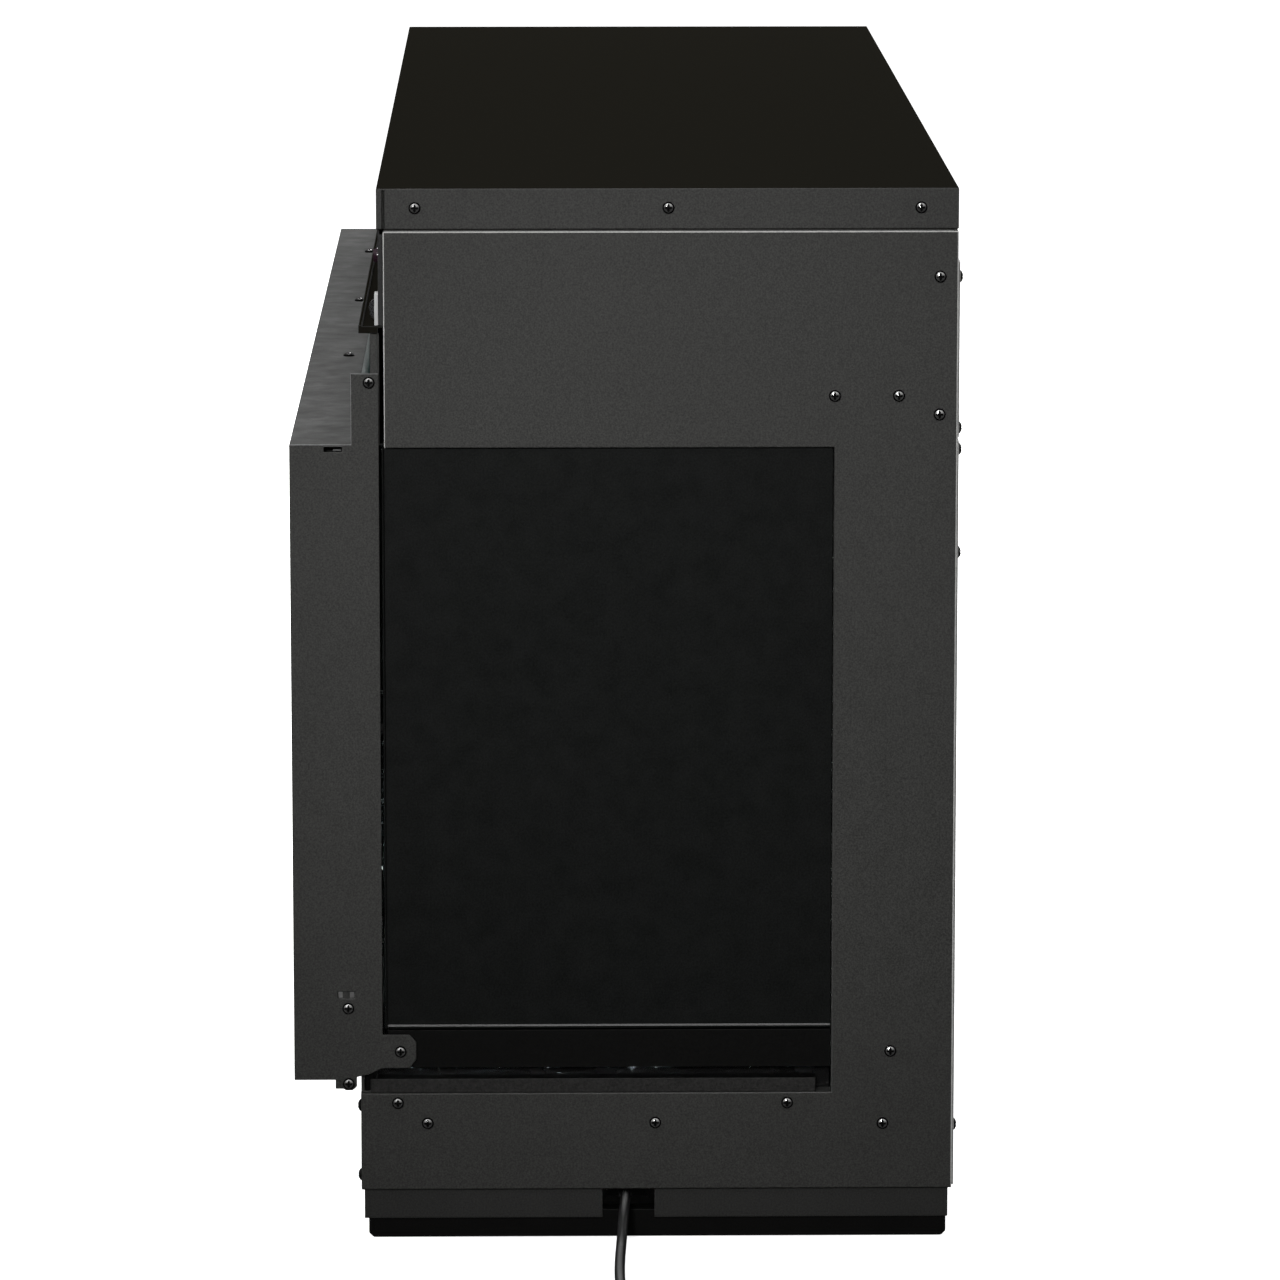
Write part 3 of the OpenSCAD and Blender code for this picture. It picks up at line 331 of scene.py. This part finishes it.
MAKERS = {
    "charcoal_steel": lambda n: powder_coat(n, (0.0268, 0.0268, 0.0250)),
    # Light grey on rounded bends: a painted highlight where the bends catch the light.
    "bend_painted_highlight": lambda n: powder_coat(n, (0.45, 0.45, 0.44), 0.4, grain=0.2),
    # Darker than charcoal_steel: painted shade on the skirt near the floor.
    "skirt_painted_shade": lambda n: powder_coat(n, (0.0155, 0.0155, 0.0145)),
    # Dark warm colour: painted shade on the lid's top, which is the same sheet as its charcoal flanges.
    "lid_steel": lambda n: powder_coat(
        n, (0.0093, 0.0087, 0.0068), 0.75, grain=0.08, peel=0.01, specular=0.0, mottled=0.0),
    "hood_steel": lambda n: powder_coat(
        n, (0.022, 0.0227, 0.0213), 0.6, grain=0.2, peel=0.015, specular=0.05, mottled=0.0),
    "black_satin": lambda n: powder_coat(
        n, (0.0042, 0.0048, 0.0045), 0.42, grain=0.55, peel=0.25, specular=0.12),
    # Mid grey on some rounded edges: a painted highlight where they catch the light.
    "edge_painted_highlight": lambda n: powder_coat(
        n, (0.13, 0.13, 0.13), 0.4, grain=0.2, peel=0.1, specular=0.1),
    "black_steel": lambda n: powder_coat(n, (0.0024, 0.0024, 0.0022), 0.55, specular=0.08),
    "wrinkle_sill": lambda n: wrinkle_paint(n, (0.0112, 0.0108, 0.0102)),
    "galvanised": lambda n: galvanised(n, (0.55, 0.56, 0.57)),
    "grille_black": lambda n: powder_coat(n, (0.012, 0.012, 0.012), 0.6),
    "clear_glass": lambda n: pane(n, (0.78, 0.88, 0.86)),
    "glass_edge": lambda n: moulded(n, (0.006, 0.02, 0.019), 0.35, specular=0.15, peel=0.05),
    "wheel_metal": lambda n: drawn_metal(n, (0.56, 0.57, 0.58)),
    "motor_steel": lambda n: powder_coat(n, (0.08, 0.08, 0.09), 0.4),
    "bearing_black": lambda n: moulded(n, (0.015, 0.015, 0.015), 0.6),
    "heater_metal": lambda n: drawn_metal(n, (0.62, 0.61, 0.58), 0.38, (30, 30, 1)),
    "ceramic": lambda n: moulded(n, (0.62, 0.56, 0.44), 0.5),
    "switch_grey": lambda n: moulded(n, (0.5, 0.5, 0.5), 0.4),
    "control_black": lambda n: moulded(n, (0.012, 0.012, 0.013), 0.25, specular=0.5),
    "receiver_red": lambda n: moulded(n, (0.02, 0.008, 0.014), 0.1, specular=0.5, peel=0.02),
    "circuit_board": lambda n: circuit_board(n, (0.01, 0.09, 0.035)),
    "lamp_bar": lambda n: drawn_metal(n, (0.7, 0.7, 0.7), 0.35, (1, 20, 20)),
    "flame_screen": lambda n: moulded(n, (0.012, 0.012, 0.014), 0.12, specular=0.5, peel=0.02),
    "reflector_foil": lambda n: drawn_metal(n, (0.85, 0.85, 0.87), 0.12, (20, 1, 1)),
    "bush_white": lambda n: moulded(n, (0.72, 0.72, 0.68), 0.4),
    "tray_acrylic": lambda n: pane(n, (0.10, 0.10, 0.11), 0.25, 1.49),
    # Clear stones tinted grey past their own colour: painted shade where they show through the gap above
    # the sill.
    "crystal": lambda n: pane(n, (0.42, 0.46, 0.48), 0.0, 1.5),
    "driftwood": lambda n: driftwood(n, (0.30, 0.22, 0.15)),
    "screw_black": lambda n: drawn_metal(n, (0.6, 0.6, 0.59), 0.22, (1, 1, 1)),
    # Near black: painted shade in screw recesses, rims and undersides, on the sill's top and on the
    # glass's end faces.
    "painted_shade_black": lambda n: moulded(n, (0.002, 0.002, 0.002), 0.5, specular=0.05),
    # The second colour is the painted highlight along the cord's top.
    "cord_black": lambda n: cord_jacket(n, (0.010, 0.010, 0.0105), (0.16, 0.16, 0.16)),
    "plug_black": lambda n: moulded(n, (0.013, 0.013, 0.014), 0.4, specular=0.4),
}
materials = {name: maker(name) for name, maker in MAKERS.items()}

# ------------------------------------------------------------------ meshes


def add_object(name, data, node, slot=None):
    """Links a new piece, gives it its slot's material, and lets it ride with a node's body."""
    piece = bpy.data.objects.new(name, data)
    scene.collection.objects.link(piece)
    slot = slot or slot_of[node]
    data.materials.append(materials[slot])
    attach(piece, body_of[node])
    return piece


def clean_mesh(name, vertices, faces, smooth_angle=35):
    """A mesh that is smooth except across edges sharper than the angle."""
    mesh = bpy.data.meshes.new(name)
    mesh.from_pydata(vertices, [], faces)
    mesh.shade_smooth()
    mesh.set_sharp_from_angle(angle=math.radians(smooth_angle))
    return mesh


def welded(node):
    """The mesh of a CAD node, its coinciding corners merged."""
    shape = bmesh.new()
    shape.from_mesh(frame["nodes"][node].data)
    bmesh.ops.remove_doubles(shape, verts=shape.verts, dist=WELD)
    return shape


def soften(node, width, segments=2, bend=None, zones=()):
    """Replaces a CAD node by the same shape with rounded edges.

    bend is one (slot, test) pair for the rounded strips, and zones holds such pairs for the other
    faces. A test takes a face's centre and normal, and says whether the slot is for that face.
    """
    shape = welded(node)
    sharp = [e for e in shape.edges if e.is_manifold and e.calc_face_angle(0) > math.radians(40)]
    slots = [slot_of[node]] + [slot for slot, _ in zones] + ([bend[0]] if bend else [])
    for face in shape.faces:
        face.material_index = 0
        for k, (_, test) in enumerate(zones):
            if test(face.calc_center_median(), face.normal):
                face.material_index = 1 + k
    strips = bmesh.ops.bevel(
        shape, geom=sharp, offset=width, offset_type="OFFSET", segments=segments, profile=0.5,
        affect="EDGES", clamp_overlap=False, material=-1
    )["faces"]
    if bend:
        for face in strips:
            if bend[1](face.calc_center_median(), face.normal):
                face.material_index = len(slots) - 1
    mesh = bpy.data.meshes.new(node + "_soft")
    shape.to_mesh(mesh)
    shape.free()
    mesh.shade_smooth()
    mesh.set_sharp_from_angle(angle=math.radians(25))
    for face in mesh.polygons:
        face.use_smooth = max(abs(c) for c in face.normal) < FLAT
    piece = add_object(node + "_finished", mesh, node)
    for slot in slots[1:]:
        mesh.materials.append(materials[slot])
    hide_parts(node)
    return piece


def screw_heads(node):
    """The middle, axis, outward sign and top of each screw, from the node's loose parts.

    A screw's axis is the one along which its size differs most from the mean of the three, and its
    head is at the end with more corners.
    """
    shape = welded(node)
    heads, seen = [], set()
    for start in shape.verts:
        if start in seen:
            continue
        seen.add(start)
        island, queue = [], [start]
        while queue:
            vertex = queue.pop()
            island.append(vertex.co)
            for edge in vertex.link_edges:
                other = edge.other_vert(vertex)
                if other not in seen:
                    seen.add(other)
                    queue.append(other)
        low = Vector([min(v[k] for v in island) for k in range(3)])
        high = Vector([max(v[k] for v in island) for k in range(3)])
        size = high - low
        axis = max(range(3), key=lambda k: abs(size[k] - sum(size) / 3))
        middle = (low + high) / 2
        head_high = sum(v[axis] for v in island) / len(island) > middle[axis]
        top = high[axis] if head_high else low[axis]
        heads.append((middle, axis, 1 if head_high else -1, top))
    shape.free()
    return heads


def finish_screws(node):
    """Screws with a bright dome, and a cross recess, rim and underside painted near-black as shade."""
    heads = screw_heads(node)

    def dark(at, normal):
        middle, axis, sign, top = min(heads, key=lambda head: (head[0] - at).length)
        reach = at - middle
        reach[axis] = 0
        below_dome = (top - at[axis]) * sign > 1.2 * MM
        on_rim = reach.length > 3.2 * MM
        near, far = sorted(abs(reach[k]) for k in range(3) if k != axis)
        in_cross = near < 0.8 * MM and far < 2.6 * MM
        return below_dome or on_rim or in_cross

    soften(node, 0.12 * MM, 1, zones=[("painted_shade_black", dark)])


# ------------------------------------------------------------------ cord

# Places in millimetres: from the strain relief to the coil, and from the coil to the plug.
CORD_D = 7 * MM
LEAD = [
    (620, -0.5, 26), (626, -0.5, 26), (632, -0.6, 26), (638, -0.8, 25.8), (644, -1.2, 24.8),
    (650, -1.7, 22.8), (656, -2.2, 19.8), (662, -2.7, 15.8), (668, -3.2, 11.6), (674, -3.7, 8),
    (680, -4.1, 5.6), (687, -4.5, 4.2), (695, -4.8, 3.7), (712, -5.3, 3.6), (732, -5.7, 3.6),
    (754, -5.8, 3.6), (778, -5.4, 3.6), (800, -4.6, 3.6), (820, -3.8, 3.6), (840, -3.5, 3.6),
]
TAIL = [
    (905.5, 62, 10.6), (905.6, 70, 10.5), (905.8, 78, 10.1), (906, 86, 9.5), (906, 94, 8.8),
    (906, 102, 8.3), (906, 110, 8.2), (906, 118, 8.5), (906, 126, 8.9), (906, 132, 9.2),
    (906, 138, 9.2),
]
COIL_AT = (860, 42)
COIL_RADIUS = 45.5  # of the outer turns, at the middle of the cord
CORD_PITCH = 7  # from turn to turn and from layer to layer
ON_FLOOR = 3.6  # the cord's middle where it lies on the floor


def ease(value, start, end):
    """0 before start, 1 after end, smooth between."""
    t = min(1.0, max(0.0, (value - start) / (end - start)))
    return t * t * (3 - 2 * t)


def coil_points():
    """Two layers of turns: wound inwards on the floor, then outwards on top."""
    points = []
    for angle in range(-90, 1801, 15):
        inwards = ease(angle, 210, 270) + ease(angle, 570, 630)
        outwards = ease(angle, 1080, 1140) + ease(angle, 1440, 1500)
        radius = COIL_RADIUS + CORD_PITCH * (outwards - inwards)
        height = ON_FLOOR + CORD_PITCH * ease(angle, 870, 960)
        turn = math.radians(angle)
        x, y = radius * math.cos(turn), radius * math.sin(turn)
        points.append((COIL_AT[0] + x, COIL_AT[1] + y, height))
    return points


def make_cord():
    """One smooth curve from the gland to the plug."""
    route = [Vector(p) * MM for p in LEAD + coil_points() + TAIL]
    curve = bpy.data.curves.new("power_cord", "CURVE")
    curve.dimensions = "3D"
    curve.resolution_u = 4
    curve.bevel_depth = CORD_D / 2
    curve.bevel_resolution = 5
    curve.use_fill_caps = True
    line = curve.splines.new("BEZIER")
    line.bezier_points.add(len(route) - 1)
    for point, place in zip(line.bezier_points, route):
        point.co = place
        point.handle_left_type = point.handle_right_type = "AUTO"
    cord = add_object("power_cord", curve, "cord")
    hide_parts("cord", "cord_coil")
    return cord


def make_tie():
    """Flat tie with rounded corners, round the coiled turns on one side of the coil."""
    turn = math.radians(118)
    out = Vector((math.cos(turn), math.sin(turn), 0))
    along = Vector((-math.sin(turn), math.cos(turn), 0))
    centre = Vector((*COIL_AT, 0)) * MM
    corner, low, high = 3.2 * MM, 0.2 * MM, 14.3 * MM
    near, far = 27.7 * MM, 49.3 * MM
    loop = []
    for cx, cz, first in ((far, high, 0), (near, high, 90), (near, low, 180), (far, low, 270)):
        sx, sz = (-1 if cx == far else 1), (-1 if cz == high else 1)
        for step in range(5):
            a = math.radians(first + 22.5 * step)
            loop.append((cx + corner * (sx + math.cos(a)), cz + corner * (sz + math.sin(a))))
    mid = Vector(((near + far) / 2, (low + high) / 2))
    vertices, faces = [], []
    for x, z in loop:
        outward = (Vector((x, z)) - mid).normalized() * 0.7 * MM
        for shift, side in ((0, -1), (0, 1), (1, 1), (1, -1)):
            place = Vector((x, max(z, 0.02 * MM))) + outward * shift
            flat = centre + out * place.x + along * side * 2.6 * MM
            vertices.append((flat.x, flat.y, max(place.y, 0.0)))
    count = len(loop)
    for i in range(count):
        a, b = 4 * i, 4 * ((i + 1) % count)
        faces += [(a + k, b + k, b + (k + 1) % 4, a + (k + 1) % 4) for k in range(4)]
    mesh = clean_mesh("cord_tie", vertices, faces)
    return add_object("cord_tie", mesh, "cord", "bearing_black")


cord = make_cord()
tie = make_tie()
plug = soften("plug", 0.8 * MM, 3)

# ------------------------------------------------------------------ sheet metal and other hard parts

# Rounding of the edges, in millimetres.
EDGE_WIDTHS = {
    "front_apron": 0.5, "rear_panel": 0.4, "frame_sill": 0.5,
    "base_rails": 0.6, "base_pan": 0.4, "side_strip_right": 0.4, "side_strip_left": 0.4,
    "header_panel": 0.4, "glass_channel": 0.4,
    "control_panel": 0.4, "switch_body": 0.4, "power_rocker": 0.3, "flame_button": 0.4,
    "heat_button": 0.4, "light_button": 0.4, "flame_screen": 0.4, "ember_tray": 0.4,
    "strain_relief": 0.5,
}
for node, width in EDGE_WIDTHS.items():
    soften(node, width * MM)


# Tests for soften: which faces get another slot, mostly a painted highlight where they catch more light
# or painted shade where they lie deeper in shade than the rest.


def anywhere(at, normal):
    return True


def side_panel_rim(at, normal):
    """The outer bend of a side panel, painted as a highlight: along its top, its back and the post
    beside the frame.
    """
    post = at.y < -0.159 and at.z > 0.535
    return abs(at.x) > 0.634 and (at.z > 0.683 or at.y > 0.219 or post)


def plate_head(at, normal):
    """The upper end of a frame's side plate, whose rounded edges get a painted highlight."""
    return at.z > 0.54


def panel_foot(at, normal):
    """The lower edge of a blanking panel, whose lip gets a painted highlight."""
    return 0.1458 < at.z < 0.1475


def hood_end(at, normal):
    return abs(at.x) > 0.632


def skin_end(at, normal):
    return abs(at.x) > 0.633


def faces_up(at, normal):
    return normal.z > 0.5


def faces_across(at, normal):
    return abs(normal.x) > 0.5


def is_level(at, normal):
    return abs(normal.z) > 0.5


def is_upright(at, normal):
    return abs(normal.z) < 0.5


def soften_pair(stem, width, bend=None, zones=()):
    """Softens the right and the left one of a pair of nodes."""
    for side in ("_right", "_left"):
        soften(stem + side, width, bend=bend, zones=zones)


# Painted highlight on the side panels' outer bends.
soften_pair("side_panel", 0.7 * MM, bend=("bend_painted_highlight", side_panel_rim))
# Painted highlight on the top end of each frame side plate.
soften_pair("frame_side", 0.45 * MM, bend=("edge_painted_highlight", plate_head))
# Painted highlight on the lower lip of each blanking panel.
soften_pair("side_filler", 0.5 * MM, bend=("edge_painted_highlight", panel_foot))
# The sill's upward faces are painted black as shade in the gap above it.
soften_pair("tray_sill", 0.6 * MM, zones=[("painted_shade_black", faces_up)])
# The whole skirt is painted darker than the side panels, as shade near the floor.
soften("base_skirt", 0.4 * MM, zones=[("skirt_painted_shade", anywhere)])
# Painted highlight on the hood's end bends.
soften("frame_hood", 0.5 * MM, bend=("edge_painted_highlight", hood_end))
# The deflector's rounded edges take the lighter hood_steel as a painted highlight.
soften("heat_deflector", 0.4 * MM, bend=("hood_steel", anywhere))
# Painted highlight on the rear cover's end bends.
soften("rear_cover", 0.4 * MM, bend=("bend_painted_highlight", skin_end))
# The lid's top is painted darker than its upright faces, as shade on the same sheet.
soften("top_cover", 0.8 * MM, zones=[("charcoal_steel", is_upright)])
# The glass's end faces are painted black as shade; its top and bottom faces take the glass's own dark
# teal edge colour.
soften("front_glass", 0.4 * MM, zones=[("painted_shade_black", faces_across), ("glass_edge", is_level)])
for node in ("side_screws", "frame_screws", "cover_screws"):
    finish_screws(node)

# ------------------------------------------------------------------ ember bed


def stone(at, size, turn):
    """Corners and faces of one broken piece of glass."""
    corners = []
    for sx in (-1, 1):
        for sy in (-1, 1):
            for sz in (-1, 1):
                jitter = Vector([random.uniform(0.45, 1.0) for _ in range(3)])
                corners.append(at + turn @ (Vector((sx, sy, sz)) * size / 2 * jitter))
    walls = [(0, 1, 3, 2), (4, 6, 7, 5), (0, 4, 5, 1), (2, 3, 7, 6), (0, 2, 6, 4), (1, 5, 7, 3)]
    return corners, walls


def make_embers():
    """A bed of loose clear stones in the tray."""
    low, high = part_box("ember_media")
    pitch = 13.5 * MM
    vertices, faces = [], []
    columns = int((high.x - low.x) / pitch)
    rows = int((high.y - low.y) / pitch)
    for layer, level in enumerate((low.z + 3.0 * MM, low.z + 6.2 * MM)):
        for i in range(columns):
            for j in range(rows):
                at = Vector((
                    low.x + (i + 0.5 + 0.25 * layer) * pitch + random.uniform(-3, 3) * MM,
                    low.y + (j + 0.5) * pitch + random.uniform(-3, 3) * MM,
                    level + random.uniform(-0.5, 0.8) * MM,
                ))
                size = random.uniform(8, 14) * MM
                at.x = min(max(at.x, low.x + size * 0.75), high.x - size * 0.75)
                at.y = min(max(at.y, low.y + size * 0.75), high.y - size * 0.75)
                turn = Matrix.Rotation(random.uniform(0, 3.14), 3, "Z") @ Matrix.Rotation(
                    random.uniform(-0.5, 0.5), 3, "X")
                corners, walls = stone(at, size * (0.8 if layer else 0.6), turn)
                base = len(vertices)
                vertices += corners
                faces += [tuple(base + k for k in wall) for wall in walls]
    mesh = bpy.data.meshes.new("ember_stones")
    mesh.from_pydata(vertices, [], faces)
    embers = add_object("ember_stones", mesh, "ember_media")
    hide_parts("ember_media")


make_embers()

# ------------------------------------------------------------------ driftwood

# Each branch in millimetres and degrees: the place of its knee over the ember bed, its turn on the
# floor, its bend at the knee, the radius of its ends and of its knee, and its two lengths.
LOW_WOOD = 112.5
BRANCHES = [
    ((-330, -30, 18), 8, -25, 15, 18, 150, 130), ((-80, 30, 20), -14, 30, 17, 20, 170, 140),
    ((210, -50, 17), 18, -35, 14, 17, 130, 150), ((420, 40, 19), -10, 25, 16, 19, 120, 110),
    ((40, -95, 13), 4, 15, 10, 13, 110, 90), ((-470, 70, 15), 30, -30, 12, 15, 90, 80),
]


def make_branch(at, turn, bend, r_end, r_knee, len_a, len_b):
    """Corners and faces of one weathered branch: a bent, tapered and knotted tube."""
    knee = Vector((at[0], at[1], at[2] + LOW_WOOD)) * MM
    first = math.radians(turn + 180)
    second = math.radians(turn + bend)
    a = knee + Vector((math.cos(first), math.sin(first), 0)) * len_a * MM
    b = knee + Vector((math.cos(second), math.sin(second), 0)) * len_b * MM
    rings, sides = 36, 20
    vertices, faces = [], []
    for i in range(rings + 1):
        t = i / rings
        centre = a.lerp(knee, t).lerp(knee.lerp(b, t), t)
        heading = (knee.lerp(b, t) - a.lerp(knee, t)).normalized()
        across = heading.cross(Vector((0, 0, 1))).normalized()
        radius = MM * (r_end + (r_knee - r_end) * math.sin(math.pi * t) ** 0.7) * (1 - 0.35 * t)
        radius *= min(1.0, 6 * t + 0.35, 6 * (1 - t) + 0.3)
        for k in range(sides):
            angle = 2 * math.pi * k / sides
            side = across * math.cos(angle) + Vector((0, 0, 1)) * math.sin(angle)
            rough = noise.noise((centre + side * 0.02) * 45) * 0.22 + noise.noise(
                Vector((centre.x * 20, side.x * 3, side.z * 3)) + centre * 9) * 0.12
            vertices.append(centre + side * radius * (0.86 + rough))
    for i in range(rings):
        for k in range(sides):
            p, q = i * sides + k, i * sides + (k + 1) % sides
            faces.append((p, q, q + sides, p + sides))
    faces.append(tuple(range(sides - 1, -1, -1)))
    faces.append(tuple(rings * sides + k for k in range(sides)))
    return vertices, faces


def make_logs():
    """All branches as one piece."""
    vertices, faces = [], []
    for branch in BRANCHES:
        corners, walls = make_branch(*branch)
        base = len(vertices)
        vertices += corners
        faces += [tuple(base + k for k in wall) for wall in walls]
    logs = add_object("driftwood_pieces", clean_mesh("driftwood_pieces", vertices, faces, 60), "log_set")
    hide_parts("log_set")


make_logs()

# ------------------------------------------------------------------ materials of the CAD nodes that stay

for node, piece in frame["nodes"].items():
    if not piece.hide_render:
        piece.data.materials.clear()
        piece.data.materials.append(materials[slot_of[node]])

# ------------------------------------------------------------------ stage and light


def make_floor():
    """A white floor that shines by itself, except under the cabinet, where its glow is off as painted
    shade.
    """
    mesh = bpy.data.meshes.new("floor")
    size = 40
    corners = [(-size, -size, 0), (size, -size, 0), (size, size, 0), (-size, size, 0)]
    mesh.from_pydata(corners, [], [(0, 1, 2, 3)])
    floor = bpy.data.objects.new("floor", mesh)
    floor.location = (0, 0.023, -0.0005)
    scene.collection.objects.link(floor)
    material, nodes, links, shader = new_material("floor_paint")
    set_sockets(shader, Specular_IOR_Level=0.0, Roughness=0.9, Emission_Color=(1, 1, 1, 1))
    axes = split_axes(nodes, links, object_coordinates(nodes))
    reach = []
    # The glow fades out inside the cabinet's footprint: painted shade under it.
    for axis, half_width in (("X", 0.62), ("Y", 0.19)):
        distance = math_node(nodes, links, "ABSOLUTE", axes[axis])
        reach.append(math_node(nodes, links, "DIVIDE", distance, half_width))
    edge = math_node(nodes, links, "MAXIMUM", *reach)
    links.new(map_range(nodes, links, edge, 0.99, 1.02, 0.0, 0.75), shader.inputs["Emission Strength"])
    stains = noise_field(nodes, links, 3, 4.0)
    links.new(ramp(nodes, links, stains, [(0.3, (0.93,) * 3), (0.7, (0.95,) * 3)]),
              shader.inputs["Base Color"])
    mesh.materials.append(material)
    floor.visible_diffuse = False
    floor.visible_glossy = False
    floor.visible_transmission = False


def place_light(name, data, at, target):
    """Adds a light that points at its target."""
    light = bpy.data.objects.new(name, data)
    light.location = at
    light.rotation_euler = (Vector(target) - Vector(at)).to_track_quat("-Z", "Y").to_euler()
    scene.collection.objects.link(light)


def area_light(name, at, target, size, power):
    data = bpy.data.lights.new(name, "AREA")
    data.shape = "RECTANGLE"
    data.size, data.size_y = size
    data.energy = power
    place_light(name, data, at, target)


def spot_light(name, at, target, cone, blend, radius, power):
    data = bpy.data.lights.new(name, "SPOT")
    data.spot_size = math.radians(cone)
    data.spot_blend = blend
    data.shadow_soft_size = radius
    data.energy = power
    place_light(name, data, at, target)


def make_sky():
    """Studio surroundings: bright above, dim near the horizon, dimmer below it and towards -X."""
    world = bpy.data.worlds.new("studio")
    scene.world = world
    world.use_nodes = True
    nodes, links = world.node_tree.nodes, world.node_tree.links
    axes = split_axes(nodes, links, nodes.new("ShaderNodeTexCoord").outputs["Generated"])
    height = map_range(nodes, links, axes["Z"], -1.0, 1.0)
    greys = [(0.0, 0.04), (0.46, 0.08), (0.5, 0.12), (0.62, 0.3), (0.8, 0.8), (1.0, 0.8)]
    sky = ramp(nodes, links, height, [(place, (grey,) * 3) for place, grey in greys])
    side = map_range(nodes, links, axes["X"], -0.9, 0.1, 0.1, 1.0)
    links.new(blend_colours(nodes, links, 1.0, sky, side, "MULTIPLY"),
              nodes["Background"].inputs["Color"])
    nodes["Background"].inputs["Strength"].default_value = 0.8


make_floor()
make_sky()
spot_light("side_key", (4.4, -0.7, 1.9), (0.635, 0.03, 0.45), cone=16.5, blend=0.6, radius=0.3,
           power=430)
area_light("upper_fill", (2.6, -0.5, 2.6), (0.62, -0.05, 0.65), size=(1.2, 0.9), power=6)
area_light("front_fill", (-0.6, -4.0, 2.2), (0, 0, 0.35), size=(3.0, 1.6), power=170)
area_light("back_fill", (-0.8, 4.2, 2.6), (0, 0, 0.4), size=(3.0, 1.6), power=120)
area_light("left_fill", (-3.6, 0.4, 2.8), (-0.6, 0, 0.4), size=(2.0, 1.2), power=120)
scene.view_settings.view_transform = "Standard"
